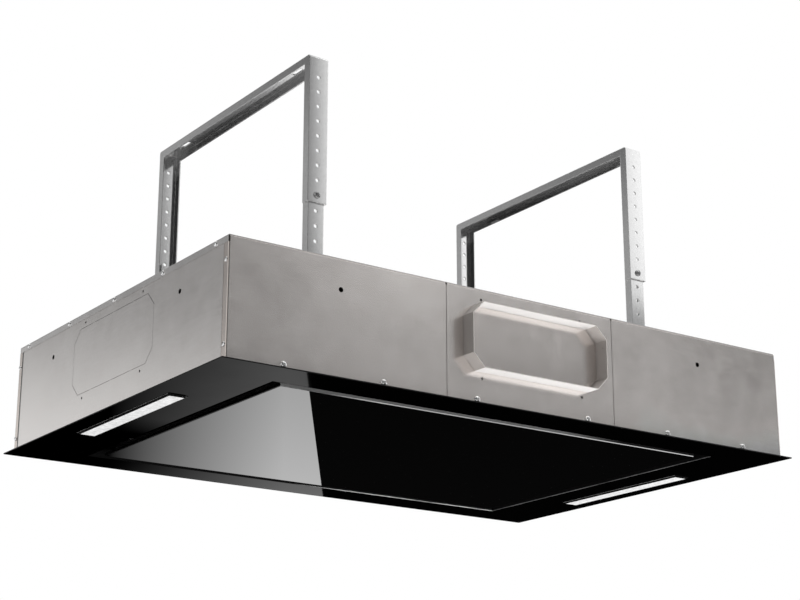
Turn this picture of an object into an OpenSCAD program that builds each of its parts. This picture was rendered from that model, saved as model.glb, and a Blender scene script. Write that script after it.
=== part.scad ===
// Ceiling range hood: sheet-metal housing with a slim blower, black trim frame, hinged glass panel
// with a suction slot round it, two light strips and two telescoping ceiling brackets.
// Millimetres. X runs along the length, -Y faces the air outlet, +Z points up.
// The origin lies in the structural ceiling's plane, midway between the four fixing slots.

/* [Housing] */
// Length of the sheet-metal housing
housing_w = 880; // [860:1:960]
// Depth of the housing
housing_d = 580; // [576:1:640]
// Height of the cover's top above the underside of the trim
housing_h = 150; // [149:1:165]
// Thickness of the housing's sheet
sheet_t = 1; // [0.8:0.1:1.2]
// Outer radius of the folds in the housing's sheet
bend_r = 2; // [1.6:0.1:2.6]
// Width of the returns folded round the vertical corners
return_w = 10; // [9:0.5:13]
// Width of the flange folded in at the top of the front and back panels
top_flange = 12; // [9:0.5:16]
// Height of the cover's turned-down lip
cover_lip = 9; // [8:0.5:11]
// Length of the centre panel that carries the outlet
outlet_panel_w = 268; // [256:1:290]
// Gap at the seams between the panels
seam = 0.8; // [0.4:0.1:1.2]
// Diameter of the side fixing holes
fixing_hole_d = 6.5; // [5:0.5:8]
// Distance of the side fixing holes below the cover's top
fixing_drop = 39.5; // [32:0.5:45]
// Distance between the fixing holes in the front and in the back
fixing_span_front = 576; // [540:1:620]
// Distance between the fixing holes in each side
fixing_span_side = 352; // [330:1:380]

// Distance of the outer screws along the foot from the housing's ends
foot_screw_inset = 75; // [65:1:90]
// Pitch of the screws along the foot
foot_screw_pitch = 138.25; // [125:0.25:142]

/* [Trim frame] */
// How far the trim stands out beyond the housing
trim_overhang = 10; // [6:0.5:20]
// Thickness of the trim plate
trim_t = 1.5; // [1.2:0.1:2]
// Width of the suction slot at the glass's short edges
slot_gap_x = 19; // [17:0.5:24]
// Width of the suction slot at the glass's long edges
slot_gap_y = 14; // [12:0.5:18]
// Height of the lip folded up round the opening
opening_lip = 12; // [9:0.5:14]
// Height of the upstand that the panels are screwed to
upstand_h = 14; // [11:0.5:20]

/* [Glass panel] */
// Distance of the glass's short edges from the housing's sides
panel_inset_x = 108; // [100:1:130]
// Distance of the glass's long edges from the housing's front and back
panel_inset_y = 60; // [56:1:75]
// Thickness of the glass
glass_t = 4; // [3:0.5:5]
// Bevel round the glass's lower edge
glass_bevel = 1.2; // [0.8:0.1:1.6]
// Height of the tray behind the glass
tray_h = 7; // [6:0.5:7.5]
// How far the tray stays inside the glass
tray_inset = 6; // [4:0.5:10]
// Distance of the hinge axis from the glass's back edge
hinge_inset = 9; // [8:0.5:10]
// Height of the hinge axis above the glass's face
hinge_z = 17; // [16:0.5:17.5]
// Distance between the two hinges
hinge_span = 480; // [400:1:560]
// Diameter of the hinge pins
hinge_pin_d = 4; // [3:0.5:5]

/* [Lights] */
// Width of the opal diffuser
diffuser_w = 20; // [16:0.5:24]
// Length of the opal diffuser
diffuser_l = 243; // [220:1:270]
// How far each light stands below the trim
light_proud = 2; // [1.2:0.1:2.5]
// Distance of the light's centre line from the housing's side
light_inset = 30; // [27:0.5:34]

/* [Ceiling brackets] */
// Height of the ceiling above the underside of the trim, as hung
hang_h = 450; // [430:1:520]
// How far the hood can be raised from there
travel = 100; // [60:20:100]
// Distance of each bracket's centre line from the housing's side
bracket_inset = 172; // [150:1:200]
// Outer length of each bracket
bracket_span_y = 405; // [385:1:440]
// Width of the upper channel
channel_w = 28; // [26:0.5:34]
// Thickness of the bracket sheet
channel_t = 2; // [1.5:0.1:2.5]
// Depth of the flanges on the legs
leg_flange = 12; // [10:0.5:18]
// Depth of the flanges on the ceiling beam
beam_flange = 10.5; // [8:0.5:14]
// Clearance between the nested channels, on each side
slide_gap = 0.4; // [0.3:0.1:0.6]
// Pitch of the height holes
hole_pitch = 20; // [15:1:25]
// Diameter of the height holes
hole_d = 5; // [4.6:0.1:6]
// Distance of the first height hole from the top
first_hole = 29; // [26:1:34]
// Width of the ceiling slots
slot_w = 7; // [6:0.5:12]
// Length of the ceiling slots, end to end
slot_l = 22; // [18:1:40]
// Distance between the slots of one bracket
slot_span = 300; // [260:1:320]

/* [Outlet] */
// Outer width of the flat-duct collar
spigot_w = 216; // [205:1:226]
// Length of the collar in front of the panel
spigot_l = 20; // [15:1:40]
// Length of the collar behind the panel
spigot_back = 20; // [18:1:24]
// Cut corners of the collar and the knock-outs
corner_cut = 17; // [12:1:20]
// How far the knock-outs reach past the collar's ends
knockout_gap_x = 3; // [1:0.5:5]
// How far the knock-outs reach above and below the collar
knockout_gap_z = 2; // [1:0.5:2.5]
// Width of the laser cut round a knock-out
laser_cut = 0.5; // [0.3:0.1:0.8]
// Distance between the pilot holes, along the panel
pilot_span_w = 160.5; // [150:0.5:175]
// Distance of the pilot holes above and below the knock-outs
pilot_gap = 6; // [4:0.5:7]
// Diameter of the pilot holes
pilot_d = 3.4; // [2.5:0.1:4]
// Distance of the flap's axle above the collar's centre
flap_axle_up = 10; // [6:0.5:14]
// Diameter of the flap's axle
flap_axle_d = 5; // [4:0.5:6]

/* [Blower] */
// Radius of the impeller
impeller_r = 105; // [100:0.5:107]
// Space between the carrier plate and the blower
blower_under = 12; // [10:0.5:13]
// Space between the blower and the cover
blower_over = 20; // [17:0.5:24]
// Radius of the inlet
inlet_r = 76; // [68:0.5:78]
// Gap between the impeller and the tongue of the volute
tongue_gap = 12; // [10:0.5:16]
// Number of blades
blade_n = 36; // [24:1:40]
// Radius of the motor's rotor bell
bell_r = 46; // [42:0.5:48]
// Diameter of the motor shaft
shaft_d = 8; // [6:0.5:10]
// Position of the impeller along the length
blower_x = -50; // [-60:1:-44]
// Position of the impeller across the depth
blower_y = -10; // [-20:1:10]

/* [Filters] */
// How far the filters end inside the glass's short edges
filter_inset_x = 18; // [16:1:26]
// How far the filters end inside the glass's long edges
filter_inset_y = 36; // [34:1:50]
// Distance of each filter from the middle
filter_gap = 8; // [7:0.5:10]
// Thickness of each grease filter
filter_t = 8; // [6:0.5:8]
// Underside of the carrier plate above the trim's underside
carrier_z = 28; // [27.5:0.5:29]
// Travel of the filter latches
latch_travel = 5; // [4.5:0.5:6]

/* [Hidden] */

fit = 0.2;
run = 0.05;
round_n = 48;
fine_n = 96;

half_w = housing_w / 2;
half_d = housing_d / 2;
cover_z = housing_h - sheet_t;
cover_d = housing_d - 2 * bend_r;
lip_z = housing_h - cover_lip;
fixing_hole_z = housing_h - fixing_drop;
panel_w = housing_w - 2 * panel_inset_x;
panel_d = housing_d - 2 * panel_inset_y;
opening_w = panel_w + 2 * slot_gap_x;
opening_d = panel_d + 2 * slot_gap_y;

leg_stop = 1;
leg_l = hang_h - travel - housing_h - leg_stop;
hole_edge = 7;
hole_n = floor((leg_l - first_hole - hole_edge) / hole_pitch) + 1;
lock_z = hang_h - first_hole - (hole_n - 1) * hole_pitch;
lower_w = channel_w - 2 * (channel_t + slide_gap);
lower_span = bracket_span_y - 2 * (channel_t + slide_gap);
lower_end = 15;
lower_top = lock_z + lower_end;
bracket_x = half_w - bracket_inset;
channel_r = 3;
bolt_y = 120;
bolt_d = 6;
bolt_head = 10;
bolt_head_h = 4;
bolt_nut_h = 5;
rail_w = 40;
rail_t = 1.5;
rail_h = 13;
rail_wing = 12;

frame_screw_x = [for (i = [0 : 2]) half_w - foot_screw_inset - i * foot_screw_pitch];
frame_screw_z = 7;
lip_screw_inset = 30.5;
lip_screw_pitch = 129;
lip_screw_y = [0, half_d - lip_screw_inset - lip_screw_pitch, half_d - lip_screw_inset];
lip_screw_z = housing_h - cover_lip / 2;
return_screw_low = 20;
return_screw_drop = 30;
return_screw_z = [return_screw_low, housing_h - return_screw_drop];
cover_shank_r = 1.5;
frame_shank_r = 1.8;
joggle_lap = 8;
notch_w = 2;
notch_h = 3;

light_x = half_w - light_inset;
light_wall = 1.2;
light_rim_w = diffuser_w + 2 * light_wall;
light_rim_l = diffuser_l + 2 * light_wall;
light_flange = 2.3;
light_flange_t = 0.6;
diffuser_t = light_proud - light_flange_t;
light_seat = 2;
light_body_w = diffuser_w - light_seat;
light_body_l = diffuser_l - 2 * light_seat;
light_top = 15;

tray_front = -panel_d / 2 + tray_inset;
tray_back = panel_d / 2 - 2 * hinge_inset;
tray_w = panel_w - 2 * tray_inset;
tray_t = 1;
tray_top = glass_t + tray_h;
hinge_y = panel_d / 2 - hinge_inset;
hinge_x = hinge_span / 2;
arm_t = 3;
ear_t = 2;
ear_gap = 0.5;
ear_r = 4.5;

carrier_t = 1;
carrier_top = carrier_z + carrier_t;
carrier_side = 17;
carrier_end = 15;
carrier_w = opening_w + 2 * (trim_t + carrier_side);
carrier_d = opening_d + 2 * (trim_t + carrier_end);
filter_w = panel_w / 2 - filter_inset_x - filter_gap;
filter_d = panel_d - 2 * filter_inset_y;
filter_x = filter_gap + filter_w / 2;
filter_seat = 0.5;
filter_top = carrier_z - filter_seat;
filter_z = filter_top - filter_t;
filter_rim = 12;
frame_sheet = 0.8;
mesh_gap = 0.1;
mesh_t = 1;
pleat_n = 38;
filter_rail_foot = 6;
latch_t = 2;
latch_w = 34;
latch_l = 60;
latch_z = filter_z - fit - latch_t;
latch_clear = 1.5;
latch_bite = latch_travel - latch_clear;
grip_h = 1.4;
catch_x = 200;
catch_w = 40;
catch_d = 14;
catch_inset = 12;
catch_y = tray_front + catch_inset;
strike_top = tray_top + 1;
magnet_gap = 0.3;

volute_t = 1;
volute_flange = 5;
volute_z = carrier_top + blower_under + volute_t;
volute_top_z = cover_z - blower_over - volute_t;
duct_gap = 0.5;
duct_h = volute_top_z - volute_z;
duct_w = spigot_w + 2 * duct_gap;
spigot_h = duct_h - 2 * duct_gap;
spigot_z = volute_z + duct_h / 2;
knockout_w = spigot_w + 2 * knockout_gap_x;
knockout_h = spigot_h + 2 * knockout_gap_z;
pilot_span_h = knockout_h + 2 * pilot_gap;
duct_setback = 2.5;
duct_y = -half_d + duct_setback;
tongue_r = impeller_r + tongue_gap;
tongue_a = 180 + acos((duct_w / 2 + blower_x) / tongue_r);
scroll_end_r = duct_w / 2 - blower_x;
impeller_under = 5;
impeller_over = 8;
impeller_z = volute_z + impeller_under;
impeller_h = duct_h - impeller_under - impeller_over;
impeller_top = impeller_z + impeller_h;
impeller_plate = 2;
bell_top = impeller_top - impeller_plate;
bell_up = 17;
bell_z = impeller_z + bell_up;
bearing_r = 11;
bearing_h = 7;
damper_pitch = 140;
damper_at = [for (x = [-1, 1], y = [-1, 1]) [x, y] * damper_pitch / 2];
damper_r = 10;
stud_r = 2.5;
damper_nut_h = 4;
stator_flange_t = 4;
stator_flange_r = 55;
motor_screw_r = 46;
motor_shank_r = 2;

flap_setback = 0.5;
flap_y = -half_d + flap_setback;
flap_t = 1;
axle_y = flap_y + flap_t + flap_axle_d / 2;
axle_z = spigot_z + flap_axle_up;
spigot_t = 1;
flap_gap = 0.4;
bush_wall = 1.2;
bush_r = flap_axle_d / 2 + bush_wall;
pilot_rim = 0.3;
collar_flange = knockout_gap_z + pilot_gap - pilot_d / 2 - pilot_rim;

box_lap = 8;
box_x = filter_x + filter_w / 2 - box_lap;
box_back = 90;
box_y = -half_d + box_back;
box_w = 60;
box_d = 170;
box_h = 46;
post_inset = 8;
post_h = 5;
driver_inset = 6;
driver_x = box_x + driver_inset;
driver_back = 280;
driver_y = half_d - driver_back;
driver_size = [44, 120, 26];
terminal_back = 130;
terminal_y = half_d - terminal_back;
gland_inset = 24;
gland_x = box_x + gland_inset;
gland_back = 100;
gland_y = half_d - gland_back;
gland_r = 10;
cable_r = 4.5;

// Moves the hood from its own underside to the ceiling's frame.
module hung() {
    translate([0, 0, -hang_h]) children();
}

// Extrudes a profile drawn in X and Z along Y, centred.
module along_y(len) {
    rotate([90, 0, 0]) translate([0, 0, -len / 2]) linear_extrude(len) children();
}

// Extrudes a profile drawn in Y and Z along X, centred.
module along_x(len) {
    rotate([90, 0, 90]) translate([0, 0, -len / 2]) linear_extrude(len) children();
}

module both_sides() {
    children();
    mirror([1, 0, 0]) children();
}

module both_ends() {
    children();
    mirror([0, 1, 0]) children();
}

module round_rect(w, h, r) {
    square([w - 2 * r, h], center = true);
    square([w, h - 2 * r], center = true);
    for (x = [-1, 1], y = [-1, 1])
        translate([x * (w / 2 - r), y * (h / 2 - r)]) circle(r, $fn = round_n);
}

// An upturned U of sheet: its top at 0, its legs hanging to -h.
module u_profile(w, h, t, r) {
    intersection() {
        translate([-w / 2, -h]) square([w, h]);
        translate([0, -h]) difference() {
            round_rect(w, 2 * h, r);
            round_rect(w - 2 * t, 2 * (h - t), r - t);
        }
    }
}

// A folded L of sheet: its corner at the origin, one leg along +X, one along -Y.
module l_profile(run_x, drop, t, r) {
    intersection() {
        translate([0, -drop]) square([run_x, drop]);
        translate([run_x, -drop]) difference() {
            round_rect(2 * run_x, 2 * drop, r);
            round_rect(2 * (run_x - t), 2 * (drop - t), r - t);
        }
    }
}

module cut_rect(w, h, c) {
    x = w / 2;
    y = h / 2;
    polygon([[c - x, -y], [x - c, -y], [x, c - y], [x, y - c],
             [x - c, y], [c - x, y], [-x, y - c], [-x, c - y]]);
}

module obround(w, l) {
    square([w, l - w], center = true);
    for (s = [-1, 1]) translate([0, s * (l - w) / 2]) circle(w / 2, $fn = round_n);
}

module ring(r_out, r_in, h) {
    difference() {
        cylinder(r = r_out, h = h, $fn = round_n);
        translate([0, 0, -1]) cylinder(r = r_in, h = h + 2, $fn = round_n);
    }
}

// A domed screw with a cross recess: head above the origin, shank below it.
module pan_screw(head_r, head_h, shank_r, shank_l) {
    edge = head_h * 0.35;
    recess_l = head_r * 1.1;
    recess_w = head_r * 0.24;
    difference() {
        rotate_extrude($fn = round_n)
            polygon([[0, 0], [head_r, 0], [head_r, edge], [head_r * 0.86, head_h * 0.72],
                     [head_r * 0.55, head_h * 0.94], [0, head_h]]);
        for (a = [0, 90])
            rotate(a) translate([-recess_l / 2, -recess_w / 2, head_h * 0.55])
                cube([recess_l, recess_w, head_h]);
    }
    translate([0, 0, -shank_l]) cylinder(r = shank_r, h = shank_l, $fn = round_n);
}

module hex(width, h) {
    rotate(30) cylinder(r = width / 2 / cos(30), h = h, $fn = 6);
}

// Places children at each pilot hole of a duct plate drawn in X and Z.
module at_pilots() {
    for (x = [-1, 1], z = [-1, 1])
        translate([x * pilot_span_w / 2, spigot_z + z * pilot_span_h / 2]) children();
}

// The laser cut of a knock-out, with bridges left in it.
module knockout_cut() {
    bridge = 3;
    translate([0, spigot_z]) difference() {
        cut_rect(knockout_w, knockout_h, corner_cut);
        cut_rect(knockout_w - 2 * laser_cut, knockout_h - 2 * laser_cut, corner_cut);
        square([bridge, knockout_h + 2], center = true);
        square([knockout_w + 2, bridge], center = true);
        for (s = [-1, 1]) translate([s * knockout_w / 4, 0])
            square([bridge, knockout_h + 2], center = true);
    }
}

// A bracket's U of channel, open to the inside: its beam's face at 0, its legs hanging to -leg.
module channel_u(span, width, leg) {
    along_x(width) u_profile(span, leg, channel_t, channel_r);
    for (s = [-1, 1])
        translate([s * (width - channel_t) / 2, 0, 0]) along_x(channel_t) intersection() {
            translate([-span / 2, -leg]) square([span, leg]);
            difference() {
                translate([0, -leg]) round_rect(span, 2 * leg, channel_r);
                translate([-span / 2 + leg_flange, -leg - 1])
                    square([span - 2 * leg_flange, leg + 1 - beam_flange]);
            }
        }
}

// Upper bracket, with height holes in its legs and slots in its beam.
module upper_bracket(x) {
    color([0.72, 0.72, 0.71]) hung() translate([x, 0, hang_h]) difference() {
        channel_u(bracket_span_y, channel_w, leg_l);
        for (i = [0 : hole_n - 1])
            translate([0, 0, -first_hole - i * hole_pitch])
                rotate([90, 0, 0])
                    cylinder(d = hole_d, h = bracket_span_y + 2, center = true, $fn = round_n);
        for (s = [-1, 1])
            translate([0, s * slot_span / 2, -channel_t - 1])
                linear_extrude(channel_t + 2) obround(slot_w, slot_l);
    }
}

module upper_bracket_left() {
    upper_bracket(-bracket_x);
}

module upper_bracket_right() {
    upper_bracket(bracket_x);
}

// Lock screws: their tips stop in the gap in front of the lower legs.
module lock_screws() {
    head_r = 4.5;
    head_h = 3;
    play = 0.1;
    tip_gap = 0.3;
    color([0.35, 0.35, 0.35]) hung() for (x = [-1, 1]) translate([x * bracket_x, 0, lock_z]) both_ends()
        translate([0, -bracket_span_y / 2, 0]) rotate([90, 0, 0])
            pan_screw(head_r, head_h, hole_d / 2 - play, channel_t + slide_gap - tip_gap);
}

// Lower bracket: a narrower U that stands on the cover, its legs nested in the upper ones.
module lower_bracket(x) {
    leg_h = lower_top - housing_h;
    holes_down = floor((lock_z - housing_h - beam_flange) / hole_pitch);
    color([0.66, 0.66, 0.65]) hung() translate([x, 0, housing_h]) difference() {
        mirror([0, 0, 1]) channel_u(lower_span, lower_w, leg_h);
        for (i = [0 : holes_down])
            translate([0, 0, lock_z - housing_h - i * hole_pitch])
                rotate([90, 0, 0]) cylinder(d = hole_d, h = lower_span + 2, center = true, $fn = round_n);
        for (s = [-1, 1])
            translate([0, s * bolt_y, -1]) cylinder(d = bolt_d + 2 * fit, h = channel_t + 2, $fn = round_n);
    }
}

module lower_bracket_left() {
    lower_bracket(-bracket_x);
}

module lower_bracket_right() {
    lower_bracket(bracket_x);
}

// Bolts through the lower brackets, the cover and the rails, with their nuts.
module bracket_bolts() {
    stack = channel_t + sheet_t + rail_t;
    bolt_l = stack + bolt_nut_h + 1;
    color([0.75, 0.74, 0.7]) hung() for (x = [-1, 1], y = [-1, 1])
        translate([x * bracket_x, y * bolt_y, housing_h + channel_t]) {
            hex(bolt_head, bolt_head_h);
            translate([0, 0, -bolt_l]) cylinder(d = bolt_d, h = bolt_l, $fn = round_n);
            translate([0, 0, -stack - bolt_nut_h]) difference() {
                hex(bolt_head, bolt_nut_h);
                translate([0, 0, -1]) cylinder(d = bolt_d + 2 * run, h = bolt_nut_h + 2, $fn = round_n);
            }
        }
}

// Lipped rails under the cover, from the front panel's flange to the back panel's.
module cover_rails() {
    rail_l = housing_d - 2 * (top_flange + fit);
    color([0.62, 0.62, 0.61]) hung() for (x = [-1, 1]) translate([x * bracket_x, 0, cover_z]) difference() {
        along_y(rail_l) {
            translate([-rail_w / 2, -rail_t]) square([rail_w, rail_t]);
            for (s = [-1, 1]) {
                translate([s * (rail_w - rail_t) / 2 - rail_t / 2, -rail_h]) square([rail_t, rail_h]);
                translate([s * (rail_w - rail_wing) / 2 - rail_wing / 2, -rail_h])
                    square([rail_wing, rail_t]);
            }
        }
        for (y = [-1, 1])
            translate([0, y * bolt_y, -rail_t - 1])
                cylinder(d = bolt_d + 2 * fit, h = rail_t + 2, $fn = round_n);
    }
}

// Top cover: a plate with a lip turned down over each side panel.
module top_cover() {
    color([0.69, 0.68, 0.66]) hung() difference() {
        translate([0, 0, housing_h]) along_y(cover_d) u_profile(housing_w, cover_lip, sheet_t, bend_r);
        for (x = [-1, 1], y = [-1, 1])
            translate([x * bracket_x, y * bolt_y, cover_z - 1])
                cylinder(d = bolt_d + 2 * fit, h = sheet_t + 2, $fn = round_n);
        for (p = damper_at)
            translate([blower_x + p[0], blower_y + p[1], cover_z - 1])
                cylinder(r = stud_r + fit, h = sheet_t + 2, $fn = round_n);
        translate([gland_x, gland_y, cover_z - 1])
            cylinder(r = gland_r + fit, h = sheet_t + 2, $fn = round_n);
        at_lip_screws() cylinder(r = cover_shank_r + run, h = 6, center = true, $fn = round_n);
    }
}

// Places children on the cover's lips, with +Z pointing out of the housing.
module at_lip_screws() {
    both_sides() for (i = [0 : 2], s = [-1, 1])
        if (i > 0 || s > 0)
            translate([half_w, s * lip_screw_y[i], lip_screw_z]) rotate([0, 90, 0]) children();
}

// Places children on the vertical returns, with +Z pointing out of the housing.
module at_return_screws() {
    both_sides() both_ends() for (z = return_screw_z)
        translate([half_w, half_d - return_w / 2, z]) rotate([0, 90, 0]) children();
}

// Places children along the foot of the front and the back, with +Z pointing out of the housing.
module at_frame_screws() {
    both_ends() both_sides() for (x = frame_screw_x)
        translate([x, -half_d, frame_screw_z]) rotate([90, 0, 0]) children();
}

module fixing_holes_front() {
    for (s = [-1, 1])
        translate([s * fixing_span_front / 2, -half_d, fixing_hole_z])
            rotate([90, 0, 0]) cylinder(d = fixing_hole_d, h = 6, center = true, $fn = round_n);
}

// One stretch of the front wall from x0 to x1, with its top flange.
module front_sheet(x0, x1) {
    translate([(x0 + x1) / 2, -half_d, cover_z])
        along_x(x1 - x0) l_profile(top_flange, cover_z - trim_t, sheet_t, bend_r);
}

// The return folded round the corner at the right end of the front wall.
module corner_return() {
    translate([half_w, -half_d, trim_t]) linear_extrude(lip_z - trim_t - fit)
        mirror([1, 0]) mirror([0, 1]) l_profile(bend_r + 1, return_w, sheet_t, bend_r);
}

// The bend relief at the top of a seam.
module seam_notch(x) {
    translate([x - notch_w / 2, -half_d - 1, cover_z - notch_h]) cube([notch_w, bend_r + 2, notch_h + 1]);
}

// The flange folded in at a seam, its outer face at x and its sheet on the side given.
module seam_flange(x, side) {
    foot_gap = 3;
    low = trim_t + upstand_h + foot_gap;
    translate([side > 0 ? x : x - sheet_t, -half_d, low])
        cube([sheet_t, top_flange, cover_z - bend_r - low]);
}

module front_panel_end() {
    edge = outlet_panel_w / 2 + seam / 2;
    difference() {
        union() {
            front_sheet(edge, half_w - bend_r);
            corner_return();
            seam_flange(edge, 1);
        }
        seam_notch(edge);
        at_frame_screws() cylinder(r = frame_shank_r + run, h = 6, center = true, $fn = round_n);
        at_return_screws() cylinder(r = cover_shank_r + run, h = 6, center = true, $fn = round_n);
        fixing_holes_front();
    }
}

module front_panel_left() {
    color([0.66, 0.65, 0.63]) hung() mirror([1, 0, 0]) front_panel_end();
}

module front_panel_right() {
    color([0.66, 0.65, 0.63]) hung() front_panel_end();
}

module front_panel_center() {
    edge = outlet_panel_w / 2 - seam / 2;
    color([0.67, 0.66, 0.64]) hung() difference() {
        union() {
            front_sheet(-edge, edge);
            seam_flange(edge, -1);
            seam_flange(-edge, 1);
        }
        for (x = [-edge, edge]) seam_notch(x);
        at_frame_screws() cylinder(r = frame_shank_r + run, h = 6, center = true, $fn = round_n);
        translate([0, -half_d, 0]) along_y(4 * sheet_t) {
            translate([0, spigot_z]) cut_rect(spigot_w + 2 * fit, spigot_h + 2 * fit, corner_cut);
            at_pilots() circle(d = pilot_d, $fn = round_n);
        }
    }
}

module back_panel() {
    color([0.66, 0.65, 0.63]) hung() mirror([0, 1, 0]) difference() {
        union() {
            front_sheet(-half_w + bend_r, half_w - bend_r);
            both_sides() corner_return();
        }
        at_frame_screws() cylinder(r = frame_shank_r + run, h = 6, center = true, $fn = round_n);
        at_return_screws() cylinder(r = cover_shank_r + run, h = 6, center = true, $fn = round_n);
        fixing_holes_front();
        translate([0, -half_d, 0]) along_y(4 * sheet_t) {
            knockout_cut();
            at_pilots() circle(d = pilot_d, $fn = round_n);
        }
    }
}

// Side panel, drawn on the right: a plate flush with the returns and the lip, joggled in behind them.
module side_panel() {
    plate_d = housing_d - 2 * (return_w + seam);
    plate_top = lip_z - seam;
    joggle_d = housing_d - 2 * (bend_r + fit);
    joggle_top = housing_h - bend_r - fit;
    foot_top = trim_t + upstand_h;
    difference() {
        union() {
            translate([half_w - sheet_t, -plate_d / 2, trim_t])
                cube([sheet_t, plate_d, plate_top - trim_t]);
            difference() {
                translate([half_w - 2 * sheet_t, -joggle_d / 2, trim_t])
                    cube([sheet_t, joggle_d, joggle_top - trim_t]);
                translate([half_w - 2 * sheet_t - 1, -plate_d / 2 + joggle_lap, foot_top])
                    cube([sheet_t + 2, plate_d - 2 * joggle_lap, plate_top - joggle_lap - foot_top]);
            }
        }
        at_lip_screws() cylinder(r = cover_shank_r + run, h = 8, center = true, $fn = round_n);
        at_return_screws() cylinder(r = cover_shank_r + run, h = 8, center = true, $fn = round_n);
        for (s = [-1, 1])
            translate([half_w, s * fixing_span_side / 2, fixing_hole_z])
                rotate([0, 90, 0]) cylinder(d = fixing_hole_d, h = 6, center = true, $fn = round_n);
        translate([half_w, 0, 0]) along_x(4 * sheet_t) {
            knockout_cut();
            at_pilots() circle(d = pilot_d, $fn = round_n);
        }
    }
}

module right_panel() {
    color([0.76, 0.75, 0.73]) hung() side_panel();
}

module left_panel() {
    color([0.76, 0.75, 0.73]) hung() mirror([1, 0, 0]) side_panel();
}

module frame_screws() {
    head_r = 4;
    head_h = 2.6;
    shank_l = 5;
    color([0.8, 0.8, 0.78]) hung() at_frame_screws() pan_screw(head_r, head_h, frame_shank_r, shank_l);
}

module cover_screws() {
    head_r = 3;
    head_h = 1.8;
    shank_l = 4;
    color([0.8, 0.8, 0.78]) hung() {
        at_lip_screws() pan_screw(head_r, head_h, cover_shank_r, shank_l);
        at_return_screws() pan_screw(head_r, head_h, cover_shank_r, shank_l);
    }
}

// Trim frame: a black plate with a lip round the opening and an upstand for the panels.
module trim_frame() {
    trim_w = housing_w + 2 * trim_overhang;
    trim_d = housing_d + 2 * trim_overhang;
    stand_w = housing_w - 2 * (2 * sheet_t + fit);
    stand_d = housing_d - 2 * (sheet_t + fit);
    color([0.05, 0.05, 0.05]) hung() difference() {
        union() {
            linear_extrude(trim_t) difference() {
                square([trim_w, trim_d], center = true);
                square([opening_w, opening_d], center = true);
            }
            linear_extrude(opening_lip) difference() {
                square([opening_w + 2 * trim_t, opening_d + 2 * trim_t], center = true);
                square([opening_w, opening_d], center = true);
            }
            linear_extrude(trim_t + upstand_h) difference() {
                square([stand_w, stand_d], center = true);
                square([stand_w - 2 * trim_t, stand_d - 2 * trim_t], center = true);
            }
        }
        for (s = [-1, 1])
            translate([s * light_x, 0, -1]) linear_extrude(trim_t + 2)
                square([light_body_w + 2 * fit, light_body_l + 2 * fit], center = true);
        at_frame_screws() translate([0, 0, -4])
            cylinder(r = frame_shank_r + run, h = 6, center = true, $fn = round_n);
    }
}

// Glass panel: flush with the trim, bevelled round its lower edge.
module glass_panel() {
    color([0.02, 0.02, 0.02]) hung() difference() {
        translate([-panel_w / 2, -panel_d / 2, 0]) cube([panel_w, panel_d, glass_t]);
        for (s = [-1, 1]) {
            translate([s * panel_w / 2, 0, 0]) rotate([0, 45, 0])
                cube([glass_bevel, panel_d + 2, glass_bevel], center = true);
            translate([0, s * panel_d / 2, 0]) rotate([45, 0, 0])
                cube([panel_w + 2, glass_bevel, glass_bevel], center = true);
        }
    }
}

// Tray bonded to the back of the glass, with a rim turned up all round.
module panel_tray() {
    tray_d = tray_back - tray_front;
    color([0.1, 0.1, 0.1]) hung() translate([-tray_w / 2, tray_front, glass_t]) difference() {
        cube([tray_w, tray_d, tray_h]);
        translate([tray_t, tray_t, tray_t]) cube([tray_w - 2 * tray_t, tray_d - 2 * tray_t, tray_h]);
    }
}

// Hinge arms: a foot on the tray and an upright eye round the hinge pin.
module hinge_arms() {
    floor_z = glass_t + tray_t;
    foot_t = 1.5;
    foot_w = 18;
    foot_y = tray_back - tray_t - fit;
    foot_l = 30;
    toe_h = 3;
    rim_gap = 0.6;
    shoulder = [8, 4];
    eye_r = 4.8;
    color([0.55, 0.55, 0.55]) hung() for (x = [-1, 1]) translate([x * hinge_x, 0, 0]) difference() {
        union() {
            translate([-foot_w / 2, foot_y - foot_l, floor_z]) cube([foot_w, foot_l, foot_t]);
            along_x(arm_t) {
                translate([hinge_y, hinge_z]) circle(eye_r, $fn = round_n);
                polygon([[foot_y - foot_l, floor_z], [foot_y, floor_z], [foot_y, tray_top + rim_gap],
                         [hinge_y, hinge_z - eye_r + fit], [hinge_y, hinge_z + eye_r],
                         [foot_y - shoulder[0], tray_top + shoulder[1]], [foot_y - foot_l, floor_z + toe_h]]);
            }
        }
        translate([0, hinge_y, hinge_z]) rotate([0, 90, 0])
            cylinder(d = hinge_pin_d + 2 * run, h = 2 * arm_t, center = true, $fn = round_n);
    }
}

// Hinge brackets: a plate under the carrier with two ears that hold the pin.
module hinge_brackets() {
    plate_t = 1.5;
    plate_l = 16;
    plate_back = 7;
    plate_side = 8;
    ear_x = arm_t / 2 + ear_gap;
    plate_w = 2 * (ear_x + ear_t + plate_side);
    plate_y = hinge_y + plate_back - plate_l;
    color([0.6, 0.6, 0.6]) hung() for (x = [-1, 1]) translate([x * hinge_x, 0, 0]) difference() {
        union() {
            translate([-plate_w / 2, plate_y, carrier_z - plate_t]) cube([plate_w, plate_l, plate_t]);
            for (s = [-1, 1]) translate([s * (ear_x + ear_t / 2), 0, 0]) along_x(ear_t) {
                translate([hinge_y, hinge_z]) circle(ear_r, $fn = round_n);
                translate([hinge_y - ear_r, hinge_z]) square([2 * ear_r, carrier_z - plate_t - hinge_z]);
            }
        }
        translate([0, hinge_y, hinge_z]) rotate([0, 90, 0])
            cylinder(d = hinge_pin_d + 2 * run, h = plate_w, center = true, $fn = round_n);
    }
}

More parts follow.
